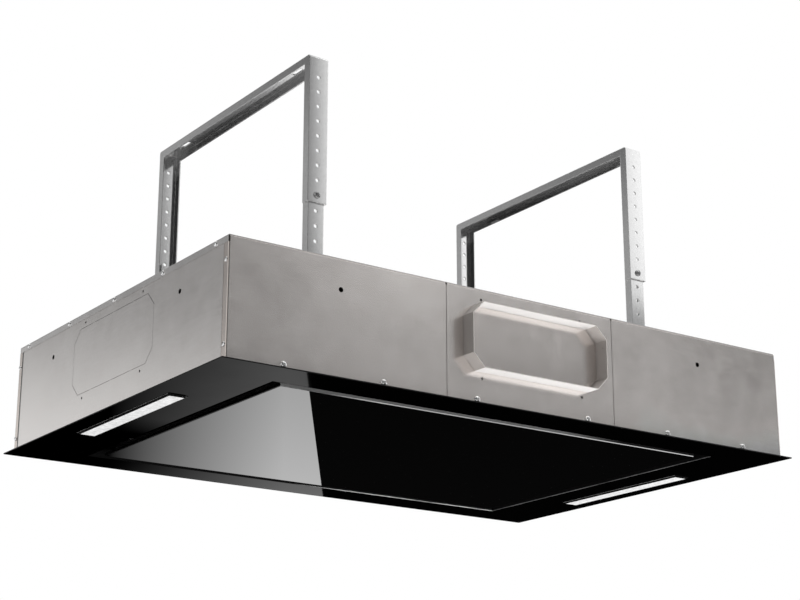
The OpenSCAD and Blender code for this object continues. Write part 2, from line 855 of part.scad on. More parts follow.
module hinge_pins() {
    pin_l = arm_t + 2 * (ear_gap + ear_t + fit);
    head_r = hinge_pin_d / 2 + 1;
    head_h = 1;
    color([0.7, 0.7, 0.7]) hung() for (x = [-1, 1])
        translate([x * hinge_x, hinge_y, hinge_z]) rotate([0, 90, 0]) {
            cylinder(d = hinge_pin_d, h = pin_l, center = true, $fn = round_n);
            translate([0, 0, -pin_l / 2 - head_h]) cylinder(r = head_r, h = head_h, $fn = round_n);
        }
}

module catch_magnets() {
    hole_inset = 6;
    hole_r = 1.8;
    hole_l = 4;
    hole_x = catch_w / 2 - hole_inset;
    catch_h = carrier_z - strike_top - magnet_gap;
    color([0.25, 0.25, 0.26]) hung() for (x = [-1, 1])
        translate([x * catch_x, catch_y, strike_top + magnet_gap]) difference() {
            translate([-catch_w / 2, -catch_d / 2, 0]) cube([catch_w, catch_d, catch_h]);
            for (s = [-1, 1]) translate([s * hole_x, 0, -1])
                cylinder(r = hole_r, h = hole_l + 1, $fn = round_n);
        }
}

module catch_strikes() {
    color([0.6, 0.6, 0.62]) hung() for (x = [-1, 1])
        translate([x * catch_x - catch_w / 2, catch_y - catch_d / 2, glass_t + tray_t])
            cube([catch_w, catch_d, strike_top - glass_t - tray_t]);
}

// Light housing: a rim below the trim, a thin flange against it and a body through the slot.
module light_housing(x) {
    body_in_w = light_body_w - 2 * light_wall;
    body_in_l = light_body_l - 2 * light_wall;
    color([0.04, 0.04, 0.04]) hung() translate([x, 0, 0]) difference() {
        union() {
            translate([0, 0, -light_proud]) linear_extrude(light_proud)
                square([light_rim_w, light_rim_l], center = true);
            translate([0, 0, -light_flange_t]) linear_extrude(light_flange_t)
                square([light_rim_w + 2 * light_flange, light_rim_l + 2 * light_flange], center = true);
            linear_extrude(light_top) square([light_body_w, light_body_l], center = true);
        }
        translate([0, 0, -light_proud - 1]) linear_extrude(diffuser_t + 1)
            square([diffuser_w + 2 * run, diffuser_l + 2 * run], center = true);
        translate([0, 0, -light_proud]) linear_extrude(light_proud + light_top - light_wall)
            square([body_in_w, body_in_l], center = true);
    }
}

module light_housing_left() {
    light_housing(-light_x);
}

module light_housing_right() {
    light_housing(light_x);
}

// Light board: a strip of board with a row of emitters facing down.
module light_board(x) {
    board_w = light_body_w - 2 * light_wall - 2 * fit;
    board_l = light_body_l - 2 * light_wall - 2 * fit;
    board_t = 1.6;
    chip = 3;
    chip_h = 0.8;
    chip_n = 16;
    chip_pitch = board_l / (chip_n + 1);
    first_chip = -(chip_n - 1) / 2 * chip_pitch - chip / 2;
    color([0.9, 0.9, 0.88]) hung() translate([x, 0, light_top - light_wall - board_t]) {
        translate([-board_w / 2, -board_l / 2, 0]) cube([board_w, board_l, board_t]);
        for (i = [0 : chip_n - 1])
            translate([-chip / 2, first_chip + i * chip_pitch, -chip_h]) cube([chip, chip, chip_h]);
    }
}

module light_board_left() {
    light_board(-light_x);
}

module light_board_right() {
    light_board(light_x);
}

module diffuser(x) {
    color([0.95, 0.95, 0.94]) hung() translate([x - diffuser_w / 2, -diffuser_l / 2, -light_proud])
        cube([diffuser_w, diffuser_l, diffuser_t]);
}

module diffuser_left() {
    diffuser(-light_x);
}

module diffuser_right() {
    diffuser(light_x);
}

module light_driver() {
    tab_l = 8;
    tab_w = 16;
    tab_t = 3;
    tab_hole_r = 2.2;
    color([0.85, 0.85, 0.84]) hung() translate([driver_x, driver_y, carrier_top]) difference() {
        union() {
            cube(driver_size);
            translate([(driver_size[0] - tab_w) / 2, -tab_l, 0])
                cube([tab_w, driver_size[1] + 2 * tab_l, tab_t]);
        }
        for (y = [-tab_l / 2, driver_size[1] + tab_l / 2])
            translate([driver_size[0] / 2, y, -1]) cylinder(r = tab_hole_r, h = tab_t + 2, $fn = round_n);
    }
}

// Carrier plate: an upturned tray over the opening, with two filter windows.
module carrier_plate() {
    window_w = filter_w - 2 * filter_rim;
    window_d = filter_d - 2 * filter_rim;
    foot = 10;
    color([0.68, 0.68, 0.67]) hung() difference() {
        union() {
            translate([-carrier_w / 2, -carrier_d / 2, trim_t])
                cube([carrier_w, carrier_d, carrier_top - trim_t]);
            for (s = [-1, 1])
                translate([-carrier_w / 2, s * (carrier_d + foot) / 2 - foot / 2, trim_t])
                    cube([carrier_w, foot, carrier_t]);
        }
        translate([-carrier_w / 2 + carrier_t, -carrier_d / 2 + carrier_t, trim_t - 1])
            cube([carrier_w - 2 * carrier_t, carrier_d - 2 * carrier_t, carrier_z - trim_t + 1]);
        for (x = [-1, 1])
            translate([x * filter_x - window_w / 2, -window_d / 2, carrier_z - 1])
                cube([window_w, window_d, carrier_t + 2]);
    }
}

// Filter rails: a T rail between the filters and a ledge along each outer side.
module filter_rails() {
    stem_t = 1.6;
    foot_t = 1.2;
    foot_z = latch_z - fit - foot_t;
    side_play = 1;
    ledge_x = filter_x + filter_w / 2 + side_play;
    ledge_l = 5;
    ledge_t = 1.2;
    ledge_z = filter_z - ledge_t;
    end_gap = 10;
    strip_l = filter_d - 2 * end_gap;
    color([0.66, 0.66, 0.65]) hung() {
        translate([-stem_t / 2, -strip_l / 2, foot_z]) cube([stem_t, strip_l, carrier_z - foot_z]);
        translate([-filter_rail_foot, -strip_l / 2, foot_z]) cube([2 * filter_rail_foot, strip_l, foot_t]);
        both_sides() {
            translate([ledge_x, -strip_l / 2, ledge_z]) cube([ledge_t, strip_l, carrier_z - ledge_z]);
            translate([ledge_x - ledge_l, -strip_l / 2, ledge_z])
                cube([ledge_l + ledge_t, strip_l, ledge_t]);
        }
    }
}

// Guide beside a filter's latch: an L that hangs from the filter's frame and reaches under the latch.
module latch_guide(side) {
    guide_w = 10;
    guide_t = 1;
    lip = 2.5;
    low = latch_z - fit - guide_t;
    guide_y = latch_l / 2 + fit;
    translate([side * (filter_gap + guide_w / 2) - guide_w / 2, 0, 0]) {
        translate([0, guide_y, low]) cube([guide_w, guide_t, filter_z - low]);
        translate([0, guide_y - lip, low]) cube([guide_w, lip + guide_t, guide_t]);
    }
}

// Filter frame: a U of aluminium round the mesh, with guides for its latch.
module filter_frame(side) {
    inner_w = filter_w - 2 * filter_rim;
    inner_d = filter_d - 2 * filter_rim;
    color([0.8, 0.8, 0.8]) hung() {
        translate([side * filter_x, 0, filter_z]) difference() {
            translate([-filter_w / 2, -filter_d / 2, 0]) cube([filter_w, filter_d, filter_t]);
            translate([-filter_w / 2 + frame_sheet, -filter_d / 2 + frame_sheet, frame_sheet])
                cube([filter_w - 2 * frame_sheet, filter_d - 2 * frame_sheet, filter_t - 2 * frame_sheet]);
            translate([-inner_w / 2, -inner_d / 2, -1]) cube([inner_w, inner_d, filter_t + 2]);
        }
        both_ends() latch_guide(side);
    }
}

module filter_frame_left() {
    filter_frame(-1);
}

module filter_frame_right() {
    filter_frame(1);
}

// Filter mesh: one pleated sheet of expanded metal between the frame's flanges.
module filter_mesh(x) {
    mesh_w = filter_w - 2 * (frame_sheet + mesh_gap);
    mesh_d = filter_d - 2 * (frame_sheet + mesh_gap);
    mesh_h = filter_t - 2 * (frame_sheet + mesh_gap);
    pitch = mesh_w / pleat_n;
    function pleat(i) = [i * pitch / 2, i % 2 == 0 ? 0 : mesh_h - mesh_t];
    lower = [for (i = [0 : 2 * pleat_n]) pleat(i)];
    upper = [for (i = [2 * pleat_n : -1 : 0]) pleat(i) + [0, mesh_t]];
    color([0.75, 0.75, 0.76]) hung() translate([x - mesh_w / 2, 0, filter_z + frame_sheet + mesh_gap])
        along_y(mesh_d) polygon(concat(lower, upper));
}

module filter_mesh_left() {
    filter_mesh(-filter_x);
}

module filter_mesh_right() {
    filter_mesh(filter_x);
}

// Filter latch, drawn for the right-hand filter: its tongue rests on the T rail's foot.
module filter_latch() {
    grip_x = 18;
    grip_pitch = 5;
    grip_t = 2;
    grip_inset = 10;
    slot = [3, 24];
    slot_x = 9;
    translate([filter_rail_foot - latch_bite, -latch_l / 2, latch_z]) difference() {
        union() {
            cube([latch_w, latch_l, latch_t]);
            for (i = [0 : 2])
                translate([grip_x + grip_pitch * i, grip_inset, -grip_h])
                    cube([grip_t, latch_l - 2 * grip_inset, grip_h + 1]);
        }
        translate([slot_x, (latch_l - slot[1]) / 2, -1]) cube([slot[0], slot[1], latch_t + 2]);
    }
}

module filter_latch_left() {
    color([0.3, 0.3, 0.3]) hung() mirror([1, 0, 0]) filter_latch();
}

module filter_latch_right() {
    color([0.3, 0.3, 0.3]) hung() filter_latch();
}

// Outlet collar: a chamfered tube through the centre panel with a flange behind it.
module outlet_collar() {
    tube_l = spigot_l + spigot_back;
    tube_y = -half_d + (spigot_back - spigot_l) / 2;
    flange_y = -half_d + sheet_t + sheet_t / 2;
    color([0.78, 0.77, 0.75]) hung() difference() {
        union() {
            translate([0, tube_y, 0]) along_y(tube_l)
                translate([0, spigot_z]) cut_rect(spigot_w, spigot_h, corner_cut);
            translate([0, flange_y, 0]) along_y(sheet_t) translate([0, spigot_z])
                cut_rect(spigot_w + 2 * collar_flange, spigot_h + 2 * collar_flange, corner_cut);
        }
        translate([0, tube_y, 0]) along_y(tube_l + 2) translate([0, spigot_z])
            cut_rect(spigot_w - 2 * spigot_t, spigot_h - 2 * spigot_t, corner_cut - spigot_t * (2 - sqrt(2)));
        translate([0, axle_y, axle_z]) rotate([0, 90, 0])
            cylinder(r = bush_r + run, h = spigot_w + 1, center = true, $fn = round_n);
    }
}

// Non-return flap: closes the collar in the panel's plane, riding on an axle behind it.
module backdraft_flap() {
    inner_w = spigot_w - 2 * spigot_t - 2 * flap_gap;
    inner_h = spigot_h - 2 * spigot_t - 2 * flap_gap;
    saddle_w = 14;
    saddle_h = 12;
    saddle_t = 1;
    axle_fit = 0.02;
    color([0.7, 0.69, 0.67]) hung() {
        translate([0, flap_y + flap_t / 2, spigot_z]) along_y(flap_t) cut_rect(inner_w, inner_h, corner_cut);
        for (s = [-1, 1]) translate([s * inner_w / 4, 0, 0]) difference() {
            translate([0, flap_y + flap_t, axle_z]) along_x(saddle_w) {
                translate([flap_axle_d / 2, 0]) circle(flap_axle_d / 2 + saddle_t, $fn = round_n);
                translate([0, -saddle_h / 2]) square([saddle_t, saddle_h]);
            }
            translate([0, axle_y, axle_z]) rotate([0, 90, 0])
                cylinder(r = flap_axle_d / 2 + axle_fit, h = saddle_w + 2, center = true, $fn = round_n);
            translate([-saddle_w, flap_y - saddle_h, axle_z - saddle_h])
                cube([2 * saddle_w, saddle_h + flap_t, 2 * saddle_h]);
        }
    }
}

module flap_axle() {
    color([0.75, 0.75, 0.75]) hung() translate([0, axle_y, axle_z]) rotate([0, 90, 0])
        cylinder(d = flap_axle_d, h = spigot_w - 2 * fit, center = true, $fn = round_n);
}

module flap_bushes() {
    color([0.9, 0.9, 0.88]) hung() for (s = [-1, 1])
        translate([s * (spigot_w - spigot_t) / 2, axle_y, axle_z]) rotate([0, 90, 0]) difference() {
            cylinder(r = bush_r, h = spigot_t, center = true, $fn = round_n);
            cylinder(r = flap_axle_d / 2 + run, h = spigot_t + 1, center = true, $fn = round_n);
        }
}

function scroll_r(a) = tongue_r + (scroll_end_r - tongue_r) * (tongue_a - a) / tongue_a;

// Outline of the volute, grown by off; its duct is open towards -Y, down to y_end.
function scroll_points(off, y_end) = concat(
    [for (i = [0 : 40]) let (a = tongue_a * (1 - i / 40), r = scroll_r(a) + off)
        [blower_x + r * cos(a), blower_y + r * sin(a)]],
    [[duct_w / 2 + off, y_end], [-duct_w / 2 - off, y_end]],
    [[-duct_w / 2 - off, blower_y + (scroll_r(tongue_a) + off) * sin(tongue_a)]]
);

module volute_base() {
    lip_h = 4;
    lip_t = 1;
    color([0.7, 0.7, 0.69]) hung() translate([0, 0, volute_z - volute_t]) {
        linear_extrude(volute_t) difference() {
            polygon(scroll_points(volute_t + volute_flange, duct_y));
            translate([blower_x, blower_y]) circle(inlet_r, $fn = fine_n);
        }
        translate([blower_x, blower_y, 0]) ring(inlet_r + lip_t, inlet_r, volute_t + lip_h);
    }
}

module volute_wall() {
    color([0.72, 0.72, 0.71]) hung() translate([0, 0, volute_z]) linear_extrude(duct_h) difference() {
        polygon(scroll_points(volute_t, duct_y));
        polygon(scroll_points(0, duct_y - 5));
    }
}

module volute_top() {
    shaft_gap = 4;
    color([0.7, 0.7, 0.69]) hung() translate([0, 0, volute_top_z]) linear_extrude(volute_t) difference() {
        polygon(scroll_points(volute_t + volute_flange, duct_y));
        translate([blower_x, blower_y]) {
            circle(shaft_d / 2 + shaft_gap, $fn = round_n);
            for (p = damper_at) translate(p) circle(stud_r + fit, $fn = round_n);
            for (a = [0 : 90 : 270])
                rotate(a) translate([motor_screw_r, 0]) circle(motor_shank_r + run, $fn = round_n);
        }
    }
}

// Impeller: a back plate, an inlet ring and forward-curved blades between them.
module impeller() {
    blade_l = 21;
    blade_in = impeller_r - blade_l;
    rim_lap = 0.5;
    blade_out = impeller_r - rim_lap;
    blade_t = 1;
    bell_gap = 4;
    sweep = 9;
    steps = 4;
    function blade_a(u) = sweep * u * u;
    function blade_point(u, side) = let (r = blade_in + (blade_out - blade_in) * u, a = blade_a(u))
        [r * cos(a) - side * blade_t / 2 * sin(a), r * sin(a) + side * blade_t / 2 * cos(a)];
    color([0.3, 0.3, 0.31]) hung() translate([blower_x, blower_y, impeller_z]) {
        ring(impeller_r, blade_in - rim_lap, impeller_plate);
        translate([0, 0, impeller_h - impeller_plate]) ring(impeller_r, bell_r + bell_gap, impeller_plate);
        for (i = [0 : blade_n - 1]) rotate(i * 360 / blade_n)
            translate([0, 0, impeller_plate]) linear_extrude(impeller_h - 2 * impeller_plate)
                polygon(concat([for (k = [0 : steps]) blade_point(k / steps, -1)],
                               [for (k = [0 : steps]) blade_point(1 - k / steps, 1)]));
    }
}

// Rotor bell: a cup open at the top, whose flange carries the impeller's back plate.
module motor_rotor() {
    wall = 3;
    web_t = 4;
    flange_t = 2;
    flange_l = 13;
    shaft_fit = 0.02;
    bell_h = bell_top - bell_z;
    color([0.2, 0.2, 0.2]) hung() translate([blower_x, blower_y, bell_z]) difference() {
        union() {
            cylinder(r = bell_r, h = bell_h, $fn = fine_n);
            translate([0, 0, bell_h - flange_t])
                cylinder(r = bell_r + flange_l, h = flange_t, $fn = fine_n);
        }
        translate([0, 0, web_t]) cylinder(r = bell_r - wall, h = bell_h, $fn = fine_n);
        translate([0, 0, -1]) cylinder(r = shaft_d / 2 + shaft_fit, h = web_t + 2, $fn = round_n);
    }
}

module motor_shaft() {
    top_gap = 2;
    color([0.75, 0.75, 0.76]) hung() translate([blower_x, blower_y, bell_z])
        cylinder(d = shaft_d, h = volute_top_z - top_gap - bell_z, $fn = round_n);
}

// Stator: the wound core, a neck and the flange screwed under the volute's top.
module motor_stator() {
    core_gap = 4;
    core_up = 7;
    core_down = 8;
    core_r = bell_r - core_gap;
    core_z = bell_z + core_up;
    core_h = impeller_top - core_down - core_z;
    neck_r = 22;
    neck_h = volute_top_z - core_z - core_h;
    color([0.45, 0.3, 0.18]) hung() translate([blower_x, blower_y, 0]) difference() {
        union() {
            translate([0, 0, core_z]) cylinder(r = core_r, h = core_h, $fn = fine_n);
            translate([0, 0, core_z + core_h]) cylinder(r = neck_r, h = neck_h, $fn = fine_n);
            translate([0, 0, volute_top_z - stator_flange_t])
                cylinder(r = stator_flange_r, h = stator_flange_t, $fn = fine_n);
        }
        translate([0, 0, core_z - 1])
            cylinder(r = bearing_r + run, h = volute_top_z - core_z + 2, $fn = round_n);
        for (a = [0 : 90 : 270]) rotate(a) translate([motor_screw_r, 0, volute_top_z - stator_flange_t - 1])
            cylinder(r = motor_shank_r + run, h = stator_flange_t + 2, $fn = round_n);
    }
}

module motor_bearings() {
    low_gap = 9;
    high_gap = 4;
    low = bell_z + low_gap;
    high = volute_top_z - high_gap - bearing_h;
    color([0.8, 0.8, 0.82]) hung() for (z = [low, high])
        translate([blower_x, blower_y, z]) ring(bearing_r, shaft_d / 2 + run, bearing_h);
}

module motor_screws() {
    head_r = 3.5;
    head_h = 2.2;
    color([0.75, 0.74, 0.7]) hung() for (a = [0 : 90 : 270])
        translate([blower_x, blower_y, volute_top_z + volute_t]) rotate(a) translate([motor_screw_r, 0, 0])
            pan_screw(head_r, head_h, motor_shank_r, volute_t + stator_flange_t);
}

// Rubber sleeves between the volute's top and the cover.
module blower_dampers() {
    damper_h = cover_z - volute_top_z - volute_t;
    waist = 2;
    waist_h = 6;
    color([0.08, 0.08, 0.08]) hung() for (p = damper_at)
        translate([blower_x + p[0], blower_y + p[1], volute_top_z + volute_t]) difference() {
            cylinder(r = damper_r, h = damper_h, $fn = round_n);
            translate([0, 0, (damper_h - waist_h) / 2]) ring(damper_r + 1, damper_r - waist, waist_h);
            translate([0, 0, -1]) cylinder(r = stud_r + run, h = damper_h + 2, $fn = round_n);
        }
}

module damper_studs() {
    stud_end = 1;
    low = volute_top_z - damper_nut_h - stud_end;
    high = housing_h + damper_nut_h + 2 * stud_end;
    color([0.75, 0.74, 0.7]) hung() for (p = damper_at)
        translate([blower_x + p[0], blower_y + p[1], low])
            cylinder(r = stud_r, h = high - low, $fn = round_n);
}

module damper_nuts() {
    nut_w = 8;
    color([0.75, 0.74, 0.7]) hung() for (p = damper_at, z = [housing_h, volute_top_z - damper_nut_h])
        translate([blower_x + p[0], blower_y + p[1], z]) difference() {
            hex(nut_w, damper_nut_h);
            translate([0, 0, -1]) cylinder(r = stud_r + run, h = damper_nut_h + 2, $fn = round_n);
        }
}

module control_box() {
    wall = 1;
    post_r = 3;
    grommet_r = 7;
    color([0.7, 0.7, 0.69]) hung() translate([box_x, box_y, carrier_top]) {
        difference() {
            cube([box_w, box_d, box_h]);
            translate([wall, wall, wall]) cube([box_w - 2 * wall, box_d - 2 * wall, box_h]);
            translate([box_w / 2, box_d + 1, box_h / 2]) rotate([90, 0, 0])
                cylinder(r = grommet_r, h = wall + 2, $fn = round_n);
        }
        for (x = [post_inset, box_w - post_inset], y = [post_inset, box_d - post_inset])
            translate([x, y, wall]) cylinder(r = post_r, h = post_h, $fn = round_n);
    }
}

module control_box_lid() {
    lid_t = 1;
    skirt = 8;
    color([0.72, 0.72, 0.71]) hung() translate([box_x, box_y, carrier_top + box_h]) difference() {
        translate([-lid_t - fit, -lid_t - fit, -skirt])
            cube([box_w + 2 * (lid_t + fit), box_d + 2 * (lid_t + fit), skirt + lid_t]);
        translate([-fit, -fit, -skirt - 1]) cube([box_w + 2 * fit, box_d + 2 * fit, skirt + 1]);
    }
}

// Control board: board, transformer, relays and capacitors.
module control_board() {
    board_t = 1.6;
    floor_t = 1;
    edge = 4;
    part_x = 5;
    transformer_w = 34;
    transformer_l = 40;
    transformer_h = 28;
    transformer_y = 6;
    relay_w = 14;
    relay_l = 18;
    relay_h = 15;
    relay_y = 54;
    relay_pitch = 24;
    capacitor_r = 8;
    capacitor_h = 24;
    capacitor_x = 36;
    capacitor_y = 64;
    capacitor_pitch = 22;
    header_w = 10;
    header_l = 40;
    header_h = 12;
    header_x = 30;
    header_y = 112;
    color([0.1, 0.35, 0.2]) hung() translate([box_x + edge, box_y + edge, carrier_top + floor_t + post_h]) {
        cube([box_w - 2 * edge, box_d - 2 * edge, board_t]);
        translate([0, 0, board_t]) {
            translate([part_x, transformer_y, 0]) cube([transformer_w, transformer_l, transformer_h]);
            for (i = [0 : 2])
                translate([part_x, relay_y + relay_pitch * i, 0]) cube([relay_w, relay_l, relay_h]);
            for (i = [0 : 1]) translate([capacitor_x, capacitor_y + capacitor_pitch * i, 0])
                cylinder(r = capacitor_r, h = capacitor_h, $fn = round_n);
            translate([header_x, header_y, 0]) cube([header_w, header_l, header_h]);
        }
    }
}

module terminal_block() {
    way = 10;
    way_n = 5;
    depth = 22;
    height = 16;
    screw_r = 2.6;
    screw_l = 6;
    wire_r = 2.2;
    wire_l = 8;
    hole_inset = 6;
    color([0.88, 0.88, 0.86]) hung() translate([driver_x, terminal_y, carrier_top]) difference() {
        cube([depth, way * way_n, height]);
        for (i = [0 : way_n - 1]) translate([0, way * (i + 1 / 2), 0]) {
            translate([hole_inset, 0, height - screw_l])
                cylinder(r = screw_r, h = screw_l + 1, $fn = round_n);
            translate([depth - wire_l, 0, hole_inset]) rotate([0, 90, 0])
                cylinder(r = wire_r, h = wire_l + 1, $fn = round_n);
        }
    }
}

// Cable gland: a hollow body through the cover, its locknut below and its dome nut above.
module cable_gland() {
    low = 8;
    body_w = 24;
    body_h = 6;
    thread_h = 1.5;
    neck_r = gland_r - thread_h;
    neck_h = 9;
    locknut_w = 26;
    locknut_h = 5;
    dome_w = 22;
    dome_h = 7;
    dome_end = 3;
    color([0.12, 0.12, 0.12]) hung() translate([gland_x, gland_y, cover_z]) {
        difference() {
            union() {
                translate([0, 0, -low]) cylinder(r = gland_r, h = low + sheet_t + 1, $fn = round_n);
                translate([0, 0, sheet_t]) hex(body_w, body_h);
                translate([0, 0, sheet_t + body_h - 1]) cylinder(r = neck_r, h = neck_h + 1, $fn = round_n);
            }
            translate([0, 0, -low - 1])
                cylinder(r = cable_r, h = low + sheet_t + body_h + neck_h + 2, $fn = round_n);
        }
        translate([0, 0, -locknut_h]) difference() {
            hex(locknut_w, locknut_h);
            translate([0, 0, -1]) cylinder(r = gland_r + run, h = locknut_h + 2, $fn = round_n);
        }
        translate([0, 0, sheet_t + body_h]) difference() {
            union() {
                hex(dome_w, dome_h);
                translate([0, 0, dome_h - 1]) cylinder(r = gland_r, h = dome_end + 1, $fn = round_n);
            }
            translate([0, 0, -1]) cylinder(r = neck_r + run, h = dome_h + dome_end + 2, $fn = round_n);
        }
    }
}

upper_bracket_left();
upper_bracket_right();
lock_screws();
lower_bracket_left();
lower_bracket_right();
bracket_bolts();
cover_rails();
top_cover();
front_panel_left();
front_panel_center();
front_panel_right();
back_panel();
left_panel();
right_panel();
frame_screws();
cover_screws();
trim_frame();
glass_panel();
panel_tray();
hinge_arms();
hinge_brackets();
hinge_pins();
catch_magnets();
catch_strikes();
light_housing_left();
light_housing_right();
light_board_left();
light_board_right();
diffuser_left();
diffuser_right();
light_driver();
carrier_plate();
filter_rails();
filter_frame_left();
filter_frame_right();
filter_mesh_left();
filter_mesh_right();
filter_latch_left();
filter_latch_right();
outlet_collar();
backdraft_flap();
flap_axle();
flap_bushes();
volute_base();
volute_wall();
volute_top();
impeller();
motor_rotor();
motor_shaft();
motor_bearings();
motor_stator();
motor_screws();
blower_dampers();
damper_studs();
damper_nuts();
control_box();
control_box_lid();
control_board();
terminal_block();
cable_gland();
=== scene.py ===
"""Looks of a ceiling range hood: camera, light, floor and the finish of every piece. Metres."""

import math

import bpy
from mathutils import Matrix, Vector


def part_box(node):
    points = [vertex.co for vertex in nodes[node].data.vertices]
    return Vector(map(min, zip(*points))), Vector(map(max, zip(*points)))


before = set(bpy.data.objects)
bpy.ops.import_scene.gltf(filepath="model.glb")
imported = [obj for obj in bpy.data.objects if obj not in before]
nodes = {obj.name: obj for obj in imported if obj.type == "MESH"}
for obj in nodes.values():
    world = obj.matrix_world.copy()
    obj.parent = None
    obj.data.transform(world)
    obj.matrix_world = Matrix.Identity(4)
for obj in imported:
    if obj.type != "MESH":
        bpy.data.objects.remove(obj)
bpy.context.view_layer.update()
scene = bpy.context.scene

# Camera, worked out from the housing's edges in the photograph
IMAGE_WIDTH = 800
FOCAL_PX = 1775.4
SENSOR = 36.0
CLIP_END = 60
CAMERA_AT = Vector((-1.3723, -1.9533, -0.9778))
AZIMUTH = math.radians(35.1)
ELEVATION = math.radians(17.5)
HEADING = Vector((math.sin(AZIMUTH), math.cos(AZIMUTH), 0))
VIEW = HEADING * math.cos(ELEVATION) + Vector((0, 0, math.sin(ELEVATION)))

# Places on the hood that its finishes and its painted light and shade follow. The seam, marked with a band
# of painted shade, runs along the edge of the back panel's return
trim_low, trim_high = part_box("trim_frame")
glass_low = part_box("glass_panel")[0]
panel_low, panel_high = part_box("front_panel_right")
back_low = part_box("back_panel")[0]
bracket_low, bracket_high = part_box("upper_bracket_right")
TRIM_Z = trim_low.z
BRACKET_X = (bracket_low.x + bracket_high.x) / 2
BRACKET_HALF = (bracket_high.x - bracket_low.x) / 2
SEAM_SHIFT = 0.0002
SEAM_SHADE_HALF = 0.0028
SEAM_Y = back_low.y + SEAM_SHIFT

# Floor, world and lamps
WHITE = (1, 1, 1, 1)
FLOOR_Z = -2.2
FLOOR_SIZE = 14.0
WORLD_LEFT = 0.08
WORLD_RIGHT = 0.5
WORLD_TURN = 0.5
LAMPS = (
    {"name": "below", "at": (0.9, -1.1, -2.0), "target": (0.2, -0.3, -0.4),
     "size": (1.9, 1.6), "watts": 130, "glossy": False},
    {"name": "above_front", "at": (1.2, -2.2, 1.4), "target": (0, 0, -0.3),
     "size": (2.0, 1.4), "watts": 18, "glossy": True},
    {"name": "above", "at": (0, 0, 3.0), "target": (0, 0, 0),
     "size": (7.0, 7.0), "watts": 130, "glossy": False},
)

# Cards behind the hood that its black underside mirrors. The border is the line on the glass where two meet
CARD_DISTANCE = 1.0
CARD_SPAN = 3.0
CARD_LOW = -1.3
BRIGHT_HIGH = -0.585
BRIGHT_LIGHT = 1.36
BRIGHT_TONES = ((-0.567, 0.0), (-0.226, 1.0))
DARK_HIGH = -0.53
DARK_LIGHT = 0.006
BORDER_NEAR = (-0.3377, -0.297)
BORDER_FAR = (0.0687, 0.3016)
FAR_DISTANCE = 2.6
FAR_HALF_WIDTH = 5
FAR_HIGH = -0.1
FAR_LIGHT = 0.07

# Flags that the metal mirrors. Their tones are (place, light) from left to right, the side flag's from below
FLAG_DISTANCE = 2.2
FLAG_HALF_WIDTH = 1.7
FLAG_REACH = 1.4
PANEL_TOP = (0.42, -0.066)
CORNER_TOP = -0.2
SIDE_LOW = -1.3
FLOOR_REACH = 1.2
SHEET_Z = -0.37
FRONT_TARGET = Vector((0, panel_low.y, SHEET_Z))
SIDE_TARGET = Vector((-panel_high.x, 0, SHEET_Z))
CORNER_TARGET = Vector((-0.27, 0.2, -0.1))
BEVEL_TARGET = Vector((0.1, glass_low.y, TRIM_Z))
FRONT_TONES = ((-0.7, 0.15), (-0.42, 0.17), (-0.2, 0.31), (0.05, 0.24),
               (0.4, 0.25), (0.62, 0.22), (0.8, 0.18), (1.4, 0.2))
LEG_TONES = ((-0.65, 0.16), (-0.42, 0.19), (-0.33, 0.28), (-0.25, 0.78), (0.1, 0.92), (0.5, 1.0))
SIDE_TONES = ((-1.0, 1.0), (-0.32, 0.87), (-0.12, 0.57), (0.04, 0.29),
              (0.3, 0.33), (0.5, 0.33), (0.75, 0.14), (1.3, 0.12))
NEAR_TONES = ((-1.7, 0.05), (1.7, 0.05))
CORNER_TONES = ((-1.7, 0.6), (-0.42, 0.5), (-0.3, 0.1), (1.7, 0.1))
FLOOR_TONES = ((-0.3, 0.08), (-0.1, 0.2), (0.1, 0.42), (0.25, 0.65), (0.45, 0.8))


def add_node(tree, kind, inputs=None, **settings):
    """Adds a node. Its inputs are linked to sockets or set to values."""
    node = tree.nodes.new(kind)
    for key, value in settings.items():
        setattr(node, key, value)
    for key, value in (inputs or {}).items():
        if isinstance(value, bpy.types.NodeSocket):
            tree.links.new(value, node.inputs[key])
        else:
            node.inputs[key].default_value = value
    return node


def add_ramp(tree, value, stops):
    """Adds a ramp that maps a value to a colour through stops of (position, colour)."""
    node = add_node(tree, "ShaderNodeValToRGB", {"Fac": value})
    elements = node.color_ramp.elements
    while len(elements) < len(stops):
        elements.new(0.5)
    for element, (position, color) in zip(elements, stops):
        element.position = position
        element.color = (*color, 1)
    return node.outputs["Color"]


